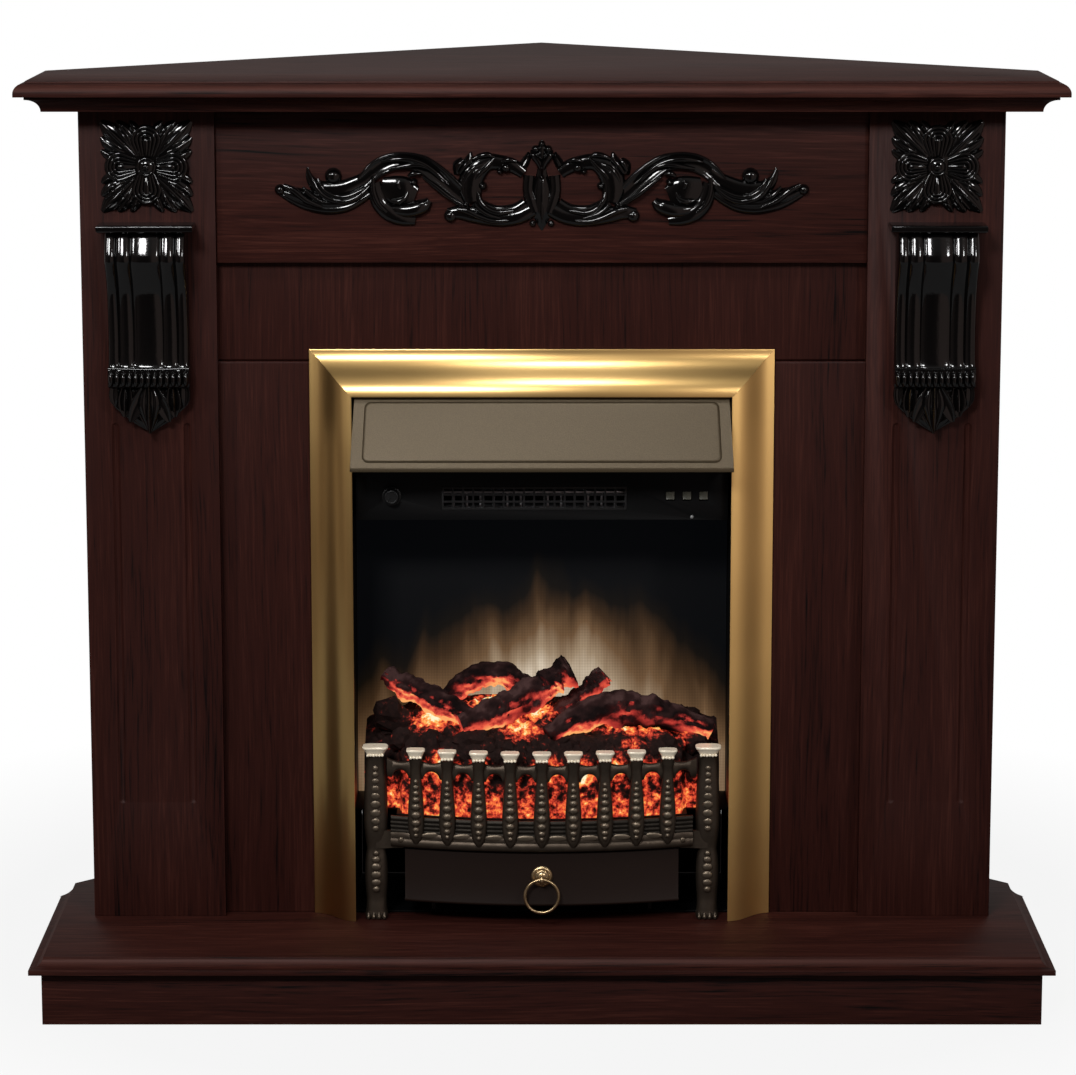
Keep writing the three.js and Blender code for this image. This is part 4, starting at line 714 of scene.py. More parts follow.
console_columns = [-1 + 2 * i / 60 for i in range(61)]
console_rings = []
for drop, half, depth, reed in flowing(corbel_rows, 4):
    half, reed = min(half, 42), max(reed, 0)
    front = [(x * half, -depth - reed * reed_height(x * 41.5), -drop) for x in console_columns]
    console_rings.append(front + [(half, -0.3, -drop), (-half, -0.3, -drop)])
for side, x in (("left", -pilaster_middle), ("right", pilaster_middle)):
    console = [[(x + px, py, corbel_top + pz) for px, py, pz in ring] for ring in reversed(console_rings)]
    parts = [drawn_out(console)]
    smooth(parts[0], 50)
    plate = [
        [(x - half, -reach, z), (x + half, -reach, z), (x + half, -0.3, z), (x - half, -0.3, z)]
        for half, reach, z in (
            (46.0, 38.0, corbel_top - 7.8), (48.6, 40.8, corbel_top - 6.6), (49.5, 41.8, corbel_top - 5.2),
            (49.5, 41.8, corbel_top - 1.2), (48.8, 41.0, corbel_top - 0.2), (48.0, 40.2, corbel_top),
        )
    ]
    parts.append(drawn_out(plate))
    smooth(parts[-1], 50)
    # thin fillet over the roll, then the beads side by side, the middle ones a little lower
    fillet = flowing([(-42, 0, 1.6), (0, -1, 1.6), (42, 0, 1.6)], 6)
    parts.append(carved(fillet[::3], "round", 1.3))
    stood_up(parts[-1], x, -20.5, corbel_top - 150)
    for count in range(13):
        across = (count - 6) * 6.45
        bpy.ops.mesh.primitive_uv_sphere_add(segments=12, ring_count=10, radius=1)
        roll_bead = bpy.context.object
        roll_bead.scale = (3.35 * mm, 7.2 * mm, 8.8 * mm)
        roll_bead.location = at(x + across, -21.5, corbel_top - 160.5 - 1.2 * math.cos(across / 28))
        bpy.ops.object.transform_apply()
        smooth(roll_bead, 60)
        parts.append(roll_bead)
    leaf = [
        carved([(0, -2, 8), (0, -16, 13), (0, -29, 10), (0, -40, 5), (0, -49, 1)], "reeded", 0.62, 2, 4),
        carved([(0, 0, 2), (0, -16, 3), (0, -34, 3), (0, -48, 0.8)], "keeled", 1.6, 8, 4),
    ]
    for sign in (-1, 1):
        for points, section, relief, lift in (
            ([(1.5, 0, 7), (12, -18, 8), (17, -29, 6), (20, -37, 2)], "scooped", 0.75, 1),
            ([(24, 0, 5), (25, -12, 8), (25.5, -22, 7), (26, -32, 2)], "scooped", 0.9, 0),
            ([(24.5, -2, 2), (25, -14, 3), (25.5, -26, 1.5)], "keeled", 1.5, 5),
            ([(37, 0, 4), (37.5, -8, 5), (37, -15, 4), (36, -21, 1)], "scooped", 1.1, 0),
        ):
            lobe = [(sign * out, z, half) for out, z, half in points]
            leaf.append(carved(lobe, section, relief, lift, 4))
    leaf = joined(leaf)
    stood_up(leaf, x, -11.5, corbel_top - 170)
    corbel = joined(parts + [leaf])
    set_down(
        corbel, "corbel_" + side + "_carved", "fireplace", "gloss_carving", black_lacquer, "corbel_" + side
    )

# ---------------------------------------------------------------- brass trim
# Three pressed strips of polished brass frame the fire, ogee in section and mitred at the top corners.
# They hook over the edge of the opening and lie on the facing.
def brass(name, roughness, level):
    """Brass sheet, clouded a little; level scales its colour, and over 1 paints it brighter."""
    dark, light = [[c * level for c in colour] for colour in ((0.70, 0.445, 0.165), (0.80, 0.525, 0.205))]
    return flecked(name, (9.0, 1.5), dark, light, roughness, metallic=1.0)


polished_brass = brass("polished_brass", (0.27, 0.33), 1.0)
# painted light: the right strip's brass is a rougher copy whose colour is painted 1.14 times brighter,
# standing in for its brighter reflection
brass_painted_brighter = brass("brass_painted_brighter", (0.46, 0.58), 1.14)  # the right strip is duller and more even

trim_half, trim_top_edge, trim_bottom = 243, 680.7, 72.3
trim_face, trim_low, trim_high, trim_sheet = 45.5, 3.5, 38, 1.8
facing_depth = 16  # the facing lies behind the pilasters' face


def ogee(t):
    """Height of the trim's face off the facing, t of the way across it."""
    return trim_low + (trim_high - trim_low) * (t - math.sin(2 * math.pi * t) / (2 * math.pi) / 1.6)


steps = 30
trim_section = [(0, 0.3)] + [(trim_face * i / steps, ogee(i / steps)) for i in range(steps + 1)]
trim_section += [(trim_face, trim_high - 5), (trim_face - trim_sheet, trim_high - 5.5)]
trim_section += [
    (max(trim_sheet, trim_face * i / steps - trim_sheet * 0.6), ogee(i / steps) - trim_sheet)
    for i in range(steps - 2, 1, -1)
] + [(trim_sheet, 0.3)]
for side, sign in (("left", -1), ("right", 1)):
    low = [(sign * (trim_half - inset), facing_depth - height, trim_bottom) for inset, height in trim_section]
    high = [(x, y, trim_top_edge - inset - 0.2) for (x, y, z), (inset, height) in zip(low, trim_section)]
    strip = drawn_out([low, high])
    ease(strip, 0.3, 60)
    smooth(strip, 30)
    finish = polished_brass if side == "left" else brass_painted_brighter
    set_down(strip, "trim_" + side + "_pressed", "fireplace", "trim_brass", finish, "trim_" + side)
ends = [
    [
        (sign * (trim_half - inset), facing_depth - height, trim_top_edge - inset)
        for inset, height in trim_section
    ]
    for sign in (-1, 1)
]
strip = drawn_out(ends)
ease(strip, 0.3, 60)
smooth(strip, 30)
set_down(strip, "trim_top_pressed", "fireplace", "trim_brass", polished_brass, "trim_top")

# ---------------------------------------------------------------- canopy
# A folded sheet steel canopy in bronze paint over the controls, wider in front, with a pressed panel
# whose corners are rounded and a lip along its lower edge.
bronze_paint = flecked(
    "bronze_paint", (900.0, 3.0), (0.042, 0.030, 0.016), (0.102, 0.075, 0.042), 0.42,
    metallic=0.55, relief=(0.5, 0.25),
)

hood_high, hood_low, hood_lip = 635, 566, 562
hood_reach_high, hood_reach_low = 15, 55
hood_half_high, hood_half_low = 195, 198.2
hood_flange, hood_sheet = 8.3, 1.2  # its rear edge before the pilasters, and the sheet's thickness
slope_length = 79.8


def on_canopy(x, t, out=0.0):
    """A point on the canopy's sloping front: x across, t from 0 at the top to 1 at the fold."""
    slope = math.hypot(hood_high - hood_low, hood_reach_low - hood_reach_high)
    back, down = (hood_high - hood_low) / slope, (hood_reach_low - hood_reach_high) / slope
    y = -(hood_reach_high + (hood_reach_low - hood_reach_high) * t) - out * back
    z = hood_high + (hood_low - hood_high) * t + out * down
    return (x, y, z)


def panel_outline(half, margin, radius, lean):
    """An outline on the slope with rounded corners, as x and t; margin is its share above and below."""
    points = []
    for sign, t, first_quarter in ((-1, 1 - margin, -1), (1, 1 - margin, 0), (1, margin, 1), (-1, margin, 2)):
        middle_x = sign * (half + lean * t - radius)
        middle_t = t + (radius if t < 0.5 else -radius) / slope_length
        for step in range(7):
            angle = math.pi / 2 * (first_quarter + step / 6)
            points.append((
                middle_x + radius * math.sin(angle), middle_t + radius / slope_length * math.cos(angle),
            ))
    return points


def bar_across(half, front, back, heights):
    """A flat bar from side to side of the canopy."""
    corners = ((-half, front), (half, front), (half, back), (-half, back))
    return drawn_out([[(x, y, z) for x, y in corners] for z in heights])


hood_spread = hood_half_low - hood_half_high
panel_spread = 2.2
front_sheet = drawn_out([
    [on_canopy(x, t, out) for x, t in panel_outline(half, margin, radius, lean)]
    for half, margin, radius, lean, out in (
        (hood_half_high - 0.5, 0.005, 0.8, hood_spread, -hood_sheet),
        (hood_half_high - 0.5, 0.005, 0.8, hood_spread, 0), (184, 0.075, 7, panel_spread, 0),
        (183.4, 0.083, 6.6, panel_spread, 0.7), (182.4, 0.098, 6, panel_spread, 1.6),
        (180.8, 0.118, 5, panel_spread, 1.7),
    )
])
smooth(front_sheet, 40)
# sides, lip and top edge, in the same sheet
cheek = [
    (hood_flange, hood_high, hood_half_high), (hood_reach_high, hood_high, hood_half_high),
    (hood_reach_low, hood_low, hood_half_low), (hood_reach_low, hood_lip, hood_half_low),
    (hood_flange, hood_lip, hood_half_low),
]
cheeks = [
    drawn_out([[(sign * (half - wall), -reach, z) for reach, z, half in cheek] for wall in (0, hood_sheet)])
    for sign in (-1, 1)
]
lip = bar_across(hood_half_low, -hood_reach_low, hood_sheet - hood_reach_low, (hood_low + 0.4, hood_lip))
top_edge = bar_across(hood_half_high, -hood_reach_high, -hood_flange, (hood_high - hood_sheet, hood_high))
canopy = joined([front_sheet] + cheeks + [lip, top_edge])
ease(canopy, 0.4, 55)
smooth(canopy, 40)
set_down(canopy, "hood_pressed", "fireplace", "bronze_paint", bronze_paint, "hood")

# ---------------------------------------------------------------- case and controls
# Black enamelled sheet steel: the case round the fire and the panel under the canopy. The panel holds
# the outlet grille of the blower, three rockers, a lamp and the knob of the flame's brightness.
def grained_black(name, colour, roughness, grain, specular):
    """Black paint or plastic with a fine moulded grain."""
    dark, light = [[share * c for c in colour] for share in (0.7, 1.3)]
    return flecked(name, (grain, 2.0), dark, light, roughness, specular=specular, relief=(0.3, 0.1))


black_enamel = grained_black("black_enamel", (0.0028, 0.0028, 0.0030), 0.45, 1400.0, 0.10)
black_plastic = grained_black("black_plastic", (0.0052, 0.0052, 0.0055), 0.45, 2200.0, 0.25)
rocker_plastic = grained_black("rocker_plastic", (0.050, 0.048, 0.034), 0.35, 1800.0, 0.5)
lens_plastic = grained_black("lens_plastic", (0.20, 0.20, 0.20), 0.2, 600.0, 0.6)
for node in ("housing_shell", "rear_cover", "control_fascia", "fuel_shelf"):
    eased(node, 0.3, node + "_enamelled", "fireplace", "black_steel", black_enamel, limit=40)
eased("outlet_grille", 0.25, "outlet_grille_moulded", "fireplace", "black_plastic", black_plastic, limit=40)
for number in (1, 2, 3):
    eased(
        "rocker_switch_%d" % number, 0.6, "rocker_%d_cap" % number, "rocker_%d" % number,
        "rocker_cap", rocker_plastic, steps=3,
    )
# Knob: a skirted dial with fine ribs and a moulded pointer.
knob_low, knob_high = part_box("flame_knob")
knob_x = (knob_low.x + knob_high.x) / 2 / mm
knob_z = (knob_low.z + knob_high.z) / 2 / mm
knob_back = (knob_high.y - pilaster_face) / mm
knob_front = (knob_low.y - pilaster_face) / mm
knob_rings = []
for y, radius, ribbed in (
    (-8.5, 9.0, 0), (-8.5, 9.9, 0), (-9.6, 9.9, 0), (-10.2, 8.6, 1), (-11.0, 8.0, 1),
    (knob_front + 1.2, 7.6, 1), (knob_front + 0.3, 7.0, 0), (knob_front, 6.2, 0),
    (knob_front + 0.5, 5.4, 0),
):
    ring = []
    for step in range(72):
        angle = 2 * math.pi * step / 72
        reach = radius - (0.35 if ribbed and step % 3 == 0 else 0)
        ring.append((knob_x + reach * math.cos(angle), y, knob_z + reach * math.sin(angle)))
    knob_rings.append(ring)
dial = drawn_out(knob_rings)
# at rest the pointer is at the low end of its turn, to the lower left
low_end = math.radians(-135)
pointer = drawn_out([
    [
        (
            knob_x + x * w * math.cos(low_end) + z * math.sin(low_end), y,
            knob_z - x * w * math.sin(low_end) + z * math.cos(low_end),
        )
        for x, z in ((-1, 0.5), (-1, 6.6), (1, 6.6), (1, 0.5))
    ]
    for y, w in ((knob_front + 0.6, 0.7), (knob_front + 0.1, 0.55))
])
knob = joined([dial, pointer])
smooth(knob, 30)
set_down(knob, "flame_knob_moulded", "knob", "black_plastic", black_plastic, "flame_knob")

# ---------------------------------------------------------------- flame screen
# A frosted sheet with a fine diagonal dot mesh. The turning spindle throws moving light on it from
# behind, so flames stand on it over the logs.
flame_middle, flame_top, flame_half = 8.0, 446.0, 180.0  # across and up, in mm
flame_fall = 92.0  # how much lower the flames' edge is at flame_half
flame_reach = 122.0  # from that edge down to where they are brightest
flames, tree, shader = new_material("flame_screen")
shader.inputs["Base Color"].default_value = (0.004, 0.004, 0.0045, 1)
shader.inputs["Roughness"].default_value = 0.55
shader.inputs["Specular IOR Level"].default_value = 0.06
shader.inputs["Emission Strength"].default_value = 1.0
place = added(tree, "TexCoord")["Object"]
screen = added(tree, "SeparateXYZ", {"Vector": place})


def wisps(across, up):
    """Noise drawn out upwards: across and up are how many features stand in a metre."""
    drawn = drawn_along(tree, place, 2, up, across)
    feeds = {"Vector": drawn, "Scale": 1.0, "Detail": 1.5, "Distortion": 0.6}
    return added(tree, "TexNoise", feeds)["Fac"]


screen_x = value_of(tree, "MULTIPLY", screen["X"], 1 / mm)
screen_z = value_of(tree, "MULTIPLY", screen["Z"], 1 / mm)
tongues, threads = wisps(26.0, 6.0), wisps(70.0, 12.0)
from_middle = value_of(tree, "ABSOLUTE", value_of(tree, "SUBTRACT", screen_x, flame_middle))
# the flames' upper edge falls to the sides, and each tongue lifts it
fall = value_of(tree, "POWER", value_of(tree, "DIVIDE", from_middle, flame_half), 1.3)
edge = value_of(tree, "SUBTRACT", flame_top, value_of(tree, "MULTIPLY", fall, flame_fall))
lift = value_of(tree, "MULTIPLY", value_of(tree, "SUBTRACT", tongues, 0.5), 90.0)
edge = value_of(tree, "ADD", edge, lift)
depth_below = value_of(tree, "DIVIDE", value_of(tree, "SUBTRACT", edge, screen_z), flame_reach, clamp=True)
in_middle = value_of(tree, "SUBTRACT", 1.0, value_of(tree, "DIVIDE", from_middle, 560.0), clamp=True)
glow = value_of(tree, "POWER", depth_below, 1.25)
glow = value_of(tree, "MULTIPLY", glow, value_of(tree, "POWER", in_middle, 1.5))
thread_light = value_of(tree, "ADD", 0.76, value_of(tree, "MULTIPLY", threads, 0.48))
glow = value_of(tree, "MULTIPLY", glow, thread_light)
flame_colour = shades(tree, glow, (
    (0.0, (0.0014, 0.0017, 0.0022)), (0.10, (0.0060, 0.0042, 0.0026)), (0.24, (0.050, 0.0255, 0.0110)),
    (0.46, (0.165, 0.092, 0.044)), (0.72, (0.38, 0.275, 0.175)), (1.0, (0.74, 0.62, 0.47)),
))
# the dot mesh, 2.4 mm apart and turned by 45 degrees
dot_wave = 2 * math.pi / (3.4 * mm)
dots = []
for sign in (1, -1):
    along = value_of(tree, "ADD", screen["X"], value_of(tree, "MULTIPLY", screen["Z"], sign))
    dots.append(value_of(tree, "SINE", value_of(tree, "MULTIPLY", along, dot_wave)))
dot_light = value_of(tree, "MULTIPLY_ADD", value_of(tree, "MULTIPLY", *dots), 0.30, 0.85)
dot_light = added(tree, "CombineXYZ", dict.fromkeys(range(3), dot_light))["Vector"]
flame_colour = mixed(tree, 1.0, flame_colour, dot_light, blend_type="MULTIPLY")
link(tree, flame_colour, shader.inputs["Emission Color"])
eased("flame_screen", 0.2, "flame_screen_sheet", "fireplace", "flame_screen", flames)

# ---------------------------------------------------------------- ember bed
# A moulded bed of broken coals, lit from below: it glows red, orange and yellow in the gaps, and the
# coals in front stand dark against it. Loose coals lie all over the moulding.

# where the light comes through: across, depth from the pilasters' face, height, radius and heat
glow_pockets = (
    (-114, 36, 282, 40, 0.84), (-84, 30, 278, 34, 0.88), (-8, 42, 290, 38, 0.88), (-22, 14, 270, 36, 0.84),
    (50, 26, 274, 30, 0.8), (84, 20, 276, 34, 0.84), (116, 20, 274, 30, 0.78), (-60, 58, 298, 38, 0.8),
    (122, 62, 290, 24, 0.55), (-178, 14, 262, 24, 0.45), (96, -6, 256, 22, 0.7), (152, 16, 268, 22, 0.45),
    (-104, -16, 238, 26, 0.95), (-66, -24, 236, 20, 0.9), (-134, -8, 232, 24, 0.75), (4, -30, 238, 26, 0.9),
    (40, -26, 234, 26, 1.0), (74, -20, 238, 24, 0.95), (108, -14, 236, 24, 0.8), (140, -4, 232, 18, 0.5),
    (-28, -30, 226, 16, 0.45),
)
low_glow_top, low_glow_fade, low_glow_heat = 0.235, 0.03, 0.42  # the row behind the fret's windows, in m
embers, tree, shader = new_material("embers")
shader.inputs["Roughness"].default_value = 0.85
shader.inputs["Specular IOR Level"].default_value = 0.06
shader.inputs["Emission Strength"].default_value = 1.0
place = added(tree, "TexCoord")["Object"]
up = added(tree, "SeparateXYZ", {"Vector": place})["Z"]
lumps = speckle(tree, place, 150.0, 5.0, 0.65)
low_glow = value_of(tree, "DIVIDE", value_of(tree, "SUBTRACT", low_glow_top, up), low_glow_fade, clamp=True)
heat = value_of(tree, "MULTIPLY", low_glow, low_glow_heat)
for x, y, z, radius, pocket_heat in glow_pockets:
    away = added(tree, "VectorMath", {0: place, 1: at(x, y, z)}, operation="DISTANCE")["Value"]
    near = value_of(tree, "SUBTRACT", 1.0, value_of(tree, "DIVIDE", away, radius * mm), clamp=True)
    heat = value_of(tree, "MAXIMUM", heat, value_of(tree, "MULTIPLY", near, pocket_heat))
heat = value_of(tree, "MULTIPLY", heat, 1.42)
lump_heat = value_of(tree, "MULTIPLY", value_of(tree, "SUBTRACT", lumps, 0.55), 2.2)
heat = value_of(tree, "ADD", heat, lump_heat)
ember_glow = shades(tree, heat, (
    (0.0, (0, 0, 0)), (0.22, (0.010, 0.0015, 0.001)), (0.36, (0.20, 0.012, 0.006)),
    (0.52, (0.72, 0.060, 0.030)), (0.68, (1.0, 0.20, 0.045)), (0.86, (1.0, 0.58, 0.14)),
    (1.0, (1.0, 0.92, 0.62)),
))
coal_black = shades(tree, lumps, ((0.0, (0.003, 0.002, 0.002)), (1.0, (0.028, 0.014, 0.012))))
link(tree, ember_glow, shader.inputs["Emission Color"])
link(tree, coal_black, shader.inputs["Base Color"])
in_relief(tree, lumps, 0.7, 1.2)

shelf_top = 187
bow_radius = (160 ** 2 + 25 ** 2) / (2 * 25)
bow_centre = bow_radius - 45


def bow_y(x, setback=0.0):
    """The fret's bowed line in plan."""
    return bow_centre - math.sqrt((bow_radius - setback) ** 2 - x ** 2)


def rough_noise(x, y, z):
    return noise.noise(Vector((x, y, z)))


bed_half, bed_back, bed_foot = 189, 84, shelf_top + 0.4


def bed_height(x, t):
    """The bed's height over the shelf, t of the way from its front to its back."""
    shoulder = 1 - 0.25 * (abs(x) / bed_half) ** 4
    return (58 + 50 * math.sqrt(t)) * shoulder


bed_rings = []
for column in range(121):
    x = -bed_half + 2 * bed_half * column / 120
    front = bow_y(x, 12) + 2 if abs(x) < 152 else 16.5
    if 148 < abs(x) < 152:
        front = bow_y(148, 12) + 2 + (16.5 - bow_y(148, 12)) * (abs(x) - 148) / 4
    front = max(front, -32)
    ring = [(x, front, bed_foot)]
    for row in range(41):
        t = row / 40
        y = front + (bed_back - front) * t
        height = bed_height(x, t)
        height += 5.0 * rough_noise(x * 0.045, y * 0.045, 3) + 3.2 * rough_noise(x * 0.13, y * 0.13, 7)
        height += 1.6 * rough_noise(x * 0.3, y * 0.3, 11)
        ring.append((x, y, shelf_top + height))
    ring.append((x, bed_back, bed_foot))
    bed_rings.append(ring)
bed = drawn_out(bed_rings)
smooth(bed, 50)
bed.data.materials.append(embers)

rng = random.Random(41)
coals = [bed]
bpy.ops.mesh.primitive_ico_sphere_add(subdivisions=2, radius=1)
coal_shape = bpy.context.object


def broken_coal(seed, roughness, coarseness):
    """A copy of the coal with a broken surface of its own."""
    coal = copied(coal_shape)
    for point in coal.data.vertices:
        point.co *= 1 + roughness * noise.noise(point.co * coarseness + Vector((seed, 0, 0)))
    coals.append(coal)
    return coal


for count in range(260):
    x = rng.uniform(-176, 176)
    front = bow_y(x, 14) + 6 if abs(x) < 146 else 24
    t = rng.random() ** 1.4
    y = front + (74 - front) * t
    size = rng.uniform(5.5, 10.5) * (1.1 if t < 0.3 else 0.95)
    if abs(x) > 168:
        size = min(size, 6)
    stretch_by = [size * rng.uniform(0.75, 1.25) * mm for _ in range(3)]
    turn_by = [rng.uniform(0, 3) for _ in range(3)]
    coal = broken_coal(rng.uniform(0, 50), 0.42, 1.3)
    coal.scale = stretch_by
    coal.rotation_euler = turn_by
    height = bed_height(x, max(0, (y - front) / (bed_back - front)))
    coal.location = at(x, y, shelf_top + height - 0.25 * size)
# black lumps that stand in front of the glow: across, depth, height, half length and half thickness
for x, y, z, long, thick in (
    (-74, -4, 262, 20, 13), (-118, -2, 262, 13, 15), (2, 10, 276, 13, 9), (41, -6, 262, 20, 10),
    (126, 4, 262, 22, 12), (-54, 20, 278, 13, 15), (-160, 40, 284, 22, 17), (164, 22, 262, 16, 15),
    (-28, -26, 244, 12, 16), (-148, 12, 262, 15, 12), (70, -14, 256, 10, 9),
):
    coal = broken_coal(rng.uniform(0, 50), 0.5, 1.4)
    coal.scale = (long * mm, 0.8 * thick * mm, thick * mm)
    coal.rotation_euler = (0, rng.uniform(-0.4, 0.4), 0)
    coal.location = at(x, y, z)
bpy.data.objects.remove(coal_shape)
ember_bed = joined(coals)
set_down(ember_bed, "ember_bed_moulded", "fireplace", "ember", embers, "ember_bed")

# ---------------------------------------------------------------- logs
# Five ceramic logs, tapered and bent, with split bark and sawn ends. They are painted charred black
# with pinkish ash in blotches, their tops painted paler as a highlight, and the bed's light reddens them from
# below.
charred, tree, shader = new_material("charred_log")
shader.inputs["Roughness"].default_value = 0.9
shader.inputs["Specular IOR Level"].default_value = 0.05
shader.inputs["Emission Strength"].default_value = 1.0
place = added(tree, "TexCoord")["Object"]
bark = speckle(tree, place, 120.0, 6.0, 0.7)
blotches = speckle(tree, place, 38.0, 3.0)
patches = speckle(tree, place, 17.0, 1.0)
up_share = value_of(tree, "MULTIPLY_ADD", upward_of(tree), 0.5, 0.5)
blotched = value_of(tree, "MULTIPLY", value_of(tree, "SUBTRACT", blotches, 0.5), 1.8)
# ash blotches, and a painted highlight that makes faces paler the more they look up
ash_and_top_highlight = shades(tree, value_of(tree, "ADD", up_share, blotched), (
    (0.0, (0.0030, 0.0018, 0.0018)), (0.50, (0.0075, 0.0040, 0.0040)), (0.80, (0.024, 0.0105, 0.0100)),
    (1.0, (0.060, 0.030, 0.028)),
))
link(tree, ash_and_top_highlight, shader.inputs["Base Color"])
# painted light: the bed's red light is painted as a glow on the undersides and in patches of the bark
under = value_of(tree, "MULTIPLY", value_of(tree, "SUBTRACT", 0.66, up_share), 2.1)
bark_glow = value_of(tree, "MULTIPLY", value_of(tree, "SUBTRACT", bark, 0.5), 1.6)
lit = value_of(tree, "ADD", under, bark_glow, clamp=True)
where_lit = value_of(tree, "MULTIPLY_ADD", patches, 5.0, -1.9, clamp=True)
red_light = shades(tree, value_of(tree, "MULTIPLY", lit, where_lit), (
    (0.0, (0, 0, 0)), (0.16, (0.03, 0.003, 0.003)), (0.40, (0.42, 0.034, 0.026)),
    (0.70, (0.86, 0.110, 0.060)), (1.0, (1.0, 0.42, 0.14)),
))
link(tree, red_light, shader.inputs["Emission Color"])
in_relief(tree, bark, 0.9, 1.5)

log_lines = (  # across, depth, height above the shelf, radius
    [(-168, 58, 138, 9), (-150, 52, 127, 13), (-125, 44, 117, 15), (-98, 32, 105, 14), (-72, 22, 94, 10)],
    [(-104, 66, 106, 9), (-82, 64, 126, 13), (-54, 62, 137, 14), (-26, 60, 127, 13), (0, 58, 108, 9)],
    [(-86, 8, 92, 11), (-60, 14, 101, 15), (-30, 24, 112, 18), (0, 33, 126, 17), (16, 38, 137, 15),
      (30, 42, 144, 19)],
    [(14, 48, 92, 10), (36, 52, 108, 12), (56, 56, 126, 11), (68, 58, 137, 13)],
    [(6, -6, 84, 10), (40, 6, 100, 15), (78, 14, 109, 18), (110, 17, 106, 18), (140, 20, 98, 14),
      (180, 24, 84, 11)],
)
for number, line in enumerate(log_lines, start=1):
    places = flowing(line, 14)
    rings = []
    for i, (x, y, z, radius) in enumerate(places):
        ahead = Vector(places[min(i + 1, len(places) - 1)][:3]) - Vector(places[max(i - 1, 0)][:3])
        ahead.normalize()
        side = ahead.cross(Vector((0, 0, 1))).normalized()
        lift = side.cross(ahead).normalized()
        ring = []
        for step in range(40):
            angle = 2 * math.pi * step / 40
            way = side * math.cos(angle) + lift * math.sin(angle)
            split_bark = 0.06 * abs(math.sin(angle * 5 + 1.5 * rough_noise(i * 0.25, number, 0)))
            lump = 0.30 * rough_noise(way.x * 1.4 + number, way.z * 1.4, i * 0.16)
            lump += 0.13 * rough_noise(way.x * 4, way.z * 4 + number, i * 0.5)
            reach = radius * (1.0 - split_bark + lump)
            ring.append(tuple(Vector((x, y, shelf_top + z)) + way * reach))
        rings.append(ring)
    log = drawn_out(rings)
    ease(log, 0.8, 60)
    smooth(log, 45)
    set_down(log, "log_%d_ceramic" % number, "fireplace", "charred_log", charred, "log_%d" % number)

# ---------------------------------------------------------------- fret
# A bowed front of cast metal in an antique bronze finish, rubbed bright on its high places: nine
# beaded bars with flared caps between an arched upper rail and a lower rail, and two end posts on
# claw feet. Two screws hold the lower rail to the posts' ears.
def cast_bronze(name, dark, light, roughness, metallic=0.85):
    """Cast metal with a dark patina that is rubbed through in places."""
    ends = (roughness + 0.1, roughness - 0.08)
    return flecked(name, (110.0, 5.0, 0.65), dark, light, ends, metallic, relief=(0.4, 0.35))


dark_bronze = cast_bronze("dark_bronze", (0.030, 0.022, 0.016), (0.100, 0.076, 0.056), 0.44)
rubbed_bronze = cast_bronze("rubbed_bronze", (0.055, 0.043, 0.031), (0.21, 0.165, 0.120), 0.38)
dark_iron = cast_bronze("dark_iron", (0.010, 0.008, 0.006), (0.032, 0.026, 0.020), 0.50)
# the caps are polished, and their pale cream colour is a painted highlight that stands in for their
# reflection
caps_painted_highlight = cast_bronze("caps_painted_highlight", (0.80, 0.69, 0.53), (0.94, 0.83, 0.65), 0.28, 0.1)

hearth = 72
bar_count, bar_pitch = 9, 33.2
bar_places = [(i - (bar_count - 1) / 2) * bar_pitch for i in range(bar_count)]


def oval(x, y, z, half_width, half_depth, count=20, squareness=2.4):
    """A level ring with rounded corners."""
    ring = []
    for step in range(count):
        angle = 2 * math.pi * step / count
        c, s = math.cos(angle), math.sin(angle)
        ring.append((
            x + half_width * math.copysign(abs(c) ** (2 / squareness), c),
            y + half_depth * math.copysign(abs(s) ** (2 / squareness), s),
            z,
        ))
    return ring


def with_finish(piece, material, degrees=40):
    piece.data.materials.clear()
    piece.data.materials.append(material)
    smooth(piece, degrees)
    return piece


def egg(x, y, z, half_width, half_depth, half_height, material, segments=14, rings=10):
    """A bead of the casting."""
    bpy.ops.mesh.primitive_uv_sphere_add(segments=segments, ring_count=rings, radius=1, location=at(x, y, z))
    piece = bpy.context.object
    piece.scale = (half_width * mm, half_depth * mm, half_height * mm)
    bpy.ops.object.transform_apply()
    return with_finish(piece, material, 60)


def bead_run(x, y, z, sizes, depth, swell=0.0, pitch=0.92):
    """Beads one over another from z up; sizes gives each one's half width and half height."""
    run = []
    for half_width, half_height in sizes:
        z += half_height * pitch
        run.append(egg(x, y, z, half_width, depth + half_width * swell, half_height, rubbed_bronze))
        z += half_height * pitch
    return run


def flared_cap(x, y, z, half_width, half_depth, height):
    """A cap that flares to a flat top, with small drops along its lower edge."""
    parts = [drawn_out([
        oval(x, y, z + up * height, half_width * w, half_depth * w, 24, 4.0)
        for up, w in ((0, 0.66), (0.3, 0.74), (0.70, 0.93), (0.80, 1.0), (0.93, 1.0), (1.0, 0.95))
    ])]
    with_finish(parts[0], caps_painted_highlight, 35)
    drops = max(4, round(half_width / 2.2))
    for i in range(drops):
        across = (i - (drops - 1) / 2) * (half_width * 1.36 / drops)
        parts.append(egg(
            x + across, y - half_depth * 0.66, z + height * (0.06 + 0.03 * (i % 2)), half_width * 0.7 / drops,
            half_depth * 0.16, height * 0.17, caps_painted_highlight, 10, 8,
        ))
    return parts


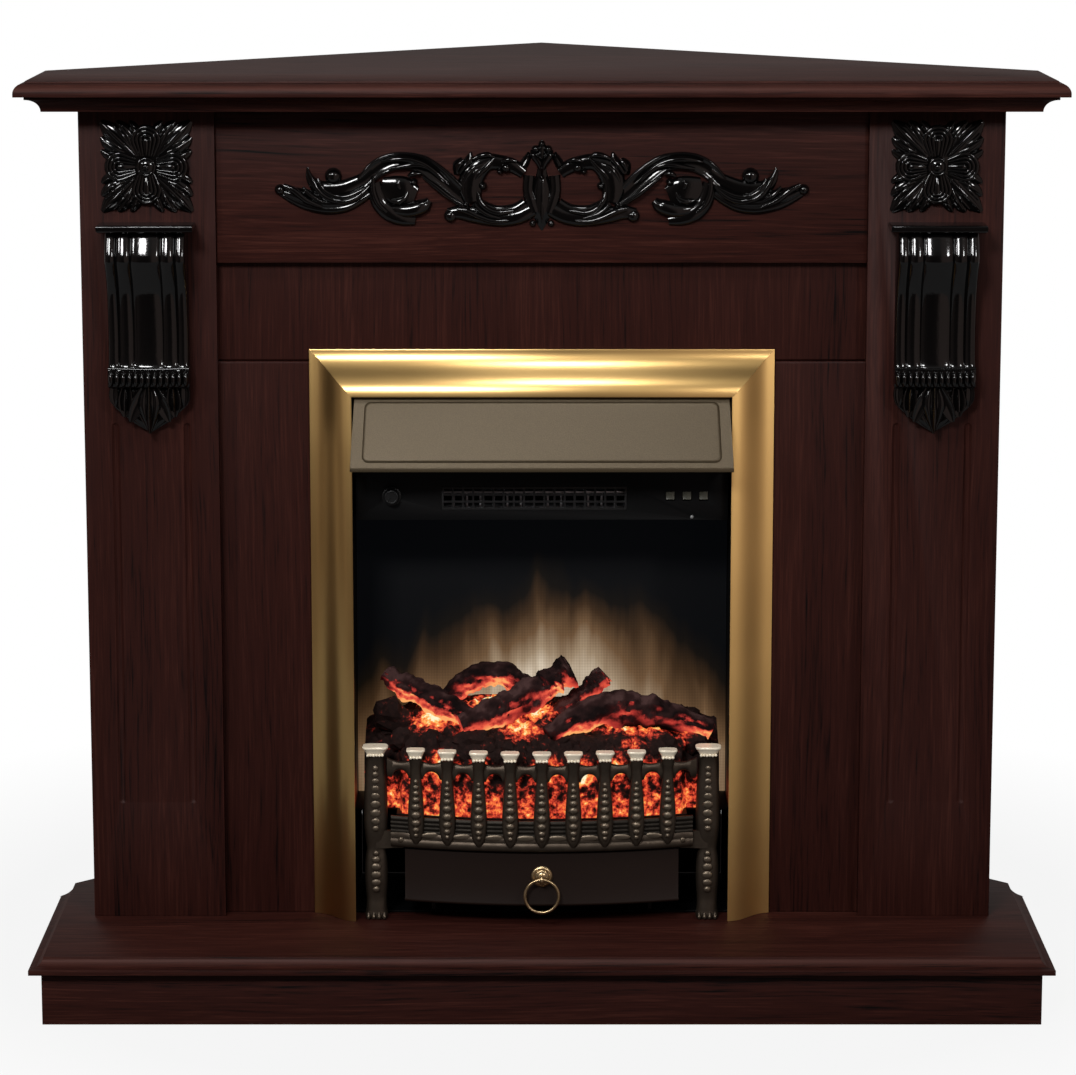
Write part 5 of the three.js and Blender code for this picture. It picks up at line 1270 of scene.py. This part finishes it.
bar_beads = (
    (3.0, 3.0), (4.4, 3.6), (5.5, 4.4), (5.9, 4.9), (5.7, 4.6), (5.0, 4.0), (4.3, 3.6), (3.6, 3.4),
    (3.0, 3.2),
)
bar_stations = (  # height above the hearth board, half width, half depth, reach before the bow
    (87, 2.0, 2.6, -1.2), (93, 6.0, 3.8, -0.4), (104, 8.3, 4.6, -0.2), (120, 8.6, 4.7, 0),
    (140, 7.4, 4.5, 0.2), (158, 5.9, 4.0, 0.3), (168, 5.6, 4.0, 0.8), (174, 6.4, 4.6, 1.6),
    (180, 7.0, 5.0, 2.6),
)
fret_parts = []
# bars
for x in bar_places:
    reach = bow_y(x)
    body = [
        oval(x, reach - front, hearth + z, half_width, half_depth)
        for z, half_width, half_depth, front in flowing(bar_stations, 3)
    ]
    fret_parts.append(with_finish(drawn_out(body), dark_bronze))
    # the beaded ridge on its front, thickest a third of the way up
    fret_parts += bead_run(x, reach - 3.4, hearth + 94.5, bar_beads, 1.7, swell=0.42)
    fret_parts += flared_cap(x, reach - 3.4, hearth + 181.7, 9.9, 7.6, 9.2)

# rails, drawn along the bow: a ring is the rail's section at one place
def along_bow(half, section, material, rings=181):
    """A rail drawn along the bow; section(x) gives points of setback and height."""
    strip = []
    for i in range(rings):
        x = -half + 2 * half * i / (rings - 1)
        strip.append([(x, bow_y(x, setback), z) for setback, z in section(x)])
    return with_finish(drawn_out(strip), material, 45)


def bay(x):
    """Distance from the nearest bay's middle, and from the nearest bar."""
    from_bar = (x / bar_pitch) % 1.0
    from_bar = min(from_bar, 1 - from_bar) * bar_pitch
    return bar_pitch / 2 - from_bar, from_bar


def upper_rail(x):
    from_middle, from_bar = bay(x)
    window = 8.6
    arch = math.sqrt(max(0.0, window ** 2 - min(from_middle, window) ** 2))
    low = hearth + 157.5 + arch
    high = hearth + 174.5 + 4.5 * (1 - min(1.0, from_bar / 15.0)) ** 1.5
    return [
        (0.3, low + 1.0), (-0.6, (low + high) / 2), (0.2, high - 1.2), (1.6, high), (4.6, high),
        (6.0, high - 1.5), (6.0, low + 0.5), (4.6, low), (1.4, low),
    ]


def lower_rail(x):
    from_middle, from_bar = bay(x)
    wave = 2.6 * math.cos(2 * math.pi * from_middle / bar_pitch)
    top = hearth + 99.0 + wave
    return [
        (1.6, hearth + 82), (0.2, hearth + 83.4), (-0.4, hearth + 86.5), (0.0, hearth + 89.6),
        (1.2, hearth + 91.2), (0.9, hearth + 93.0), (1.6, hearth + 96.5), (3.4, top), (5.0, top - 0.4),
        (6.0, hearth + 96), (6.0, hearth + 83.5), (4.6, hearth + 82),
    ]


def ribbed_band(x):
    ribs = []
    for i in range(4):
        z = hearth + 97 + i * 4.4
        ribs += [(2.7, z), (2.0, z + 0.9), (2.0, z + 2.6), (2.7, z + 3.5)]
    return ribs + [(3.2, hearth + 115), (5.6, hearth + 115), (6.0, hearth + 114), (6.0, hearth + 97)]


fret_parts.append(along_bow(163.5, upper_rail, dark_bronze, 241))
fret_parts.append(along_bow(160, lower_rail, dark_bronze, 161))
fret_parts.append(along_bow(160, ribbed_band, dark_iron, 61))
# paler crests on the lower rail between the bars
for i in range(bar_count - 1):
    x = (bar_places[i] + bar_places[i + 1]) / 2
    fret_parts.append(egg(x, bow_y(x, 1.8), hearth + 96.6, 11.5, 1.5, 3.6, rubbed_bronze, 16, 8))
for sign in (-1, 1):
    x = sign * 149
    front = bow_y(x, 0.3)
    fret_parts.append(egg(x, front, hearth + 90, 3.2, 1.9, 3.2, rubbed_bronze))
fret_front = joined(fret_parts)
set_down(fret_front, "fret_front_cast", "fireplace", "fret_brass", None, "fret_front")

post_middle = 176
post_stations = [  # height above the hearth board, half width, half depth, middle
    (0.3, 11.4, 9.4, -4), (4, 12.2, 10.2, -4), (8, 11.6, 9.6, -4), (14, 10.8, 8.2, -5), (24, 10.8, 7.4, -5),
    (40, 12.0, 8, -6), (56, 12.0, 8, -6), (68, 11.2, 7.2, -6), (77, 10.0, 6.4, -6), (88, 11.2, 7, -7),
    (104, 12.6, 8, -8), (124, 12.6, 8, -8), (144, 12.0, 7.4, -9), (163, 11.0, 6.8, -9),
    (172, 10.6, 7.2, -9), (181, 9.6, 8, -10),
]
upper_beads = (
    (4.2, 3.6), (5.6, 4.6), (6.3, 5.2), (6.2, 5.2), (5.8, 4.8), (5.2, 4.4), (4.6, 4.0), (4.2, 3.8),
    (3.7, 3.6),
)
lower_beads = ((4.2, 3.6), (5.7, 4.4), (6.2, 4.9), (5.9, 4.8), (5.0, 4.2), (3.6, 3.4))
for side, sign in (("left", -1), ("right", 1)):
    middle = sign * post_middle
    body = [
        oval(middle, y, hearth + z, half_width, half_depth, 28)
        for z, half_width, half_depth, y in flowing(post_stations, 3)
    ]
    parts = [with_finish(drawn_out(body), dark_bronze)]
    parts += bead_run(middle, -14.6, hearth + 97, upper_beads, 2.6)
    parts += bead_run(middle, -12.9, hearth + 30, lower_beads, 2.5, pitch=0.9)
    # claw foot: four toes with knuckles
    for i in range(4):
        across = middle + (i - 1.5) * 5.6
        parts.append(egg(across, -11.6, hearth + 4.6, 2.7, 4.6, 4.2, dark_bronze))
        parts.append(egg(across, -14.6, hearth + 3.3, 2.0, 2.6, 2.9, rubbed_bronze, 12, 8))
    # ear behind the end of the lower rail
    ear_back = bow_y(160, 6) + 0.3
    ear = drawn_out([
        [(x, ear_back, z), (x, ear_back + 5, z), (x, ear_back + 5, high), (x, ear_back, high)]
        for x, z, high in ((sign * 146.5, hearth + 79, hearth + 97), (middle, hearth + 78, hearth + 98))
    ])
    parts.append(with_finish(ear, dark_bronze, 30))
    parts += flared_cap(middle, -12, hearth + 180.2, 13.6, 10.8, 9.8)
    set_down(joined(parts), "fret_post_%s_cast" % side, "fireplace", "fret_brass", None, "fret_post_" + side)

# ---------------------------------------------------------------- ash pan and its ring
# A bowed tray of black sheet steel under the fret, with a rolled lower edge. Its pull is an antique
# brass rose with an eye, and a ring that swings in it.
pan_steel = grained_black("pan_enamel", (0.0105, 0.0055, 0.0040), 0.36, 900.0, 0.20)
antique_brass = flecked(
    "antique_brass", (160.0, 4.0), (0.30, 0.20, 0.10), (0.66, 0.50, 0.29), (0.42, 0.24), metallic=1.0
)

pan_low, pan_high, pan_half = hearth + 22, hearth + 80, 145


def pan_ring(inset, z):
    line = []
    half = pan_half - inset
    for i in range(61):
        x = -half + 2 * half * i / 60
        line.append((x, bow_y(x, 5 + inset), z))
    return line + [(half, 55 - inset, z), (-half, 55 - inset, z)]


tray = drawn_out([
    pan_ring(inset, z) for inset, z in (
        (1.6, pan_low), (0.3, pan_low + 0.5), (-0.5, pan_low + 1.8), (-0.5, pan_low + 3.0),
        (0, pan_low + 4.0), (0, pan_high - 0.4), (0.4, pan_high), (1.6, pan_high), (2, pan_high - 0.4),
        (2, pan_low + 2),
    )
])
smooth(tray, 40)
tray_parts = [tray]
for sign in (-1, 1):
    x = sign * pan_half * 0.8
    runner = drawn_out([
        [(x - 2, y, z), (x + 2, y, z), (x + 2, y, hearth + 2.6), (x - 2, y, hearth + 2.6)]
        for y, z in ((17.7, pan_low + 1), (53.7, pan_low + 1))
    ])
    tray_parts.append(runner)
set_down(joined(tray_parts), "ash_pan_pressed", "fireplace", "black_steel", pan_steel, "ash_pan")

rose_front = bow_y(0, 5)
rose_z = hearth + 55
rose_turns = [2 * math.pi * i / 40 for i in range(40)]
rose_rings = []
for radius, out in (
    (11.2, 0.3), (11.5, 0.8), (11.4, 1.4), (10.2, 2.6), (9.0, 2.9), (8.2, 2.3), (7.6, 2.4), (6.9, 3.6),
    (5.8, 4.2), (5.0, 3.9), (4.4, 4.2), (3.4, 4.9), (1.6, 5.2),
):
    rose_rings.append([
        (radius * math.cos(turn), rose_front - out, rose_z + radius * math.sin(turn)) for turn in rose_turns
    ])
rose_parts = [drawn_out(rose_rings)]
smooth(rose_parts[0], 50)
bpy.ops.mesh.primitive_torus_add(
    major_radius=3.7 * mm, minor_radius=1.25 * mm, major_segments=28, minor_segments=12,
    location=at(0, rose_front - 8, rose_z - 2), rotation=(0, math.radians(90), 0),
)
eye = bpy.context.object
eye.scale = (1, 1, 1.5)
bpy.ops.object.transform_apply()
smooth(eye, 60)
rose_parts.append(eye)
set_down(joined(rose_parts), "pull_rose_turned", "fireplace", "pull_brass", antique_brass, "pull_rose")

bpy.ops.mesh.primitive_torus_add(
    major_radius=17.85 * mm, minor_radius=1.65 * mm, major_segments=72, minor_segments=16,
    location=at(0, rose_front - 8, rose_z - 2 - 17.85), rotation=(math.radians(90), 0, 0),
)
ring = bpy.context.object
bpy.ops.object.transform_apply()
smooth(ring, 60)
set_down(ring, "pull_ring_wire", "ring", "pull_brass", antique_brass, "pull_ring")

# ---------------------------------------------------------------- works inside the case
# Zinc plated blower, heater and flame spindle, their motors, two lamps under the bed, and the
# switches behind the panel. They are seen through the outlet and from behind.
def plated(name, colour, roughness, metallic=1.0):
    """Sheet metal with a soft bloom on its plating."""
    dark, light = [[min(1.0, share * c) for c in colour] for share in (0.8, 1.15)]
    return flecked(name, (60.0, 4.0), dark, light, (roughness - 0.08, roughness + 0.1), metallic)


zinc = plated("zinc_plate", (0.46, 0.47, 0.50), 0.36)
lamp_glass = plated("lamp_glass", (0.9, 0.55, 0.24), 0.2, 0.0)
lamp_shader = lamp_glass.node_tree.nodes["Principled BSDF"]
lamp_shader.inputs["Emission Color"].default_value = (1.0, 0.42, 0.12, 1)
lamp_shader.inputs["Emission Strength"].default_value = 0.6
for node in ("fan_scroll", "spindle_bearing", "fan_motor", "spindle_motor", "heating_element"):
    eased(node, 0.3, node + "_plated", "fireplace", "zinc", zinc, limit=40)
for node, slot, material in (
    ("lamp_left", "lamp_glass", lamp_glass), ("lamp_right", "lamp_glass", lamp_glass),
    ("indicator_lamp", "lamp_lens", lens_plastic), ("cable_gland", "black_plastic", black_plastic),
    ("knob_control", "zinc", zinc), ("switch_block", "black_plastic", black_plastic),
):
    eased(node, 0.2, node + "_finished", "fireplace", slot, material, limit=50)
eased("fan_impeller", 0.15, "fan_impeller_plated", "fan", "zinc", zinc, limit=50)
eased("flame_spindle", 0.15, "flame_spindle_plated", "spindle", "zinc", zinc, limit=50)
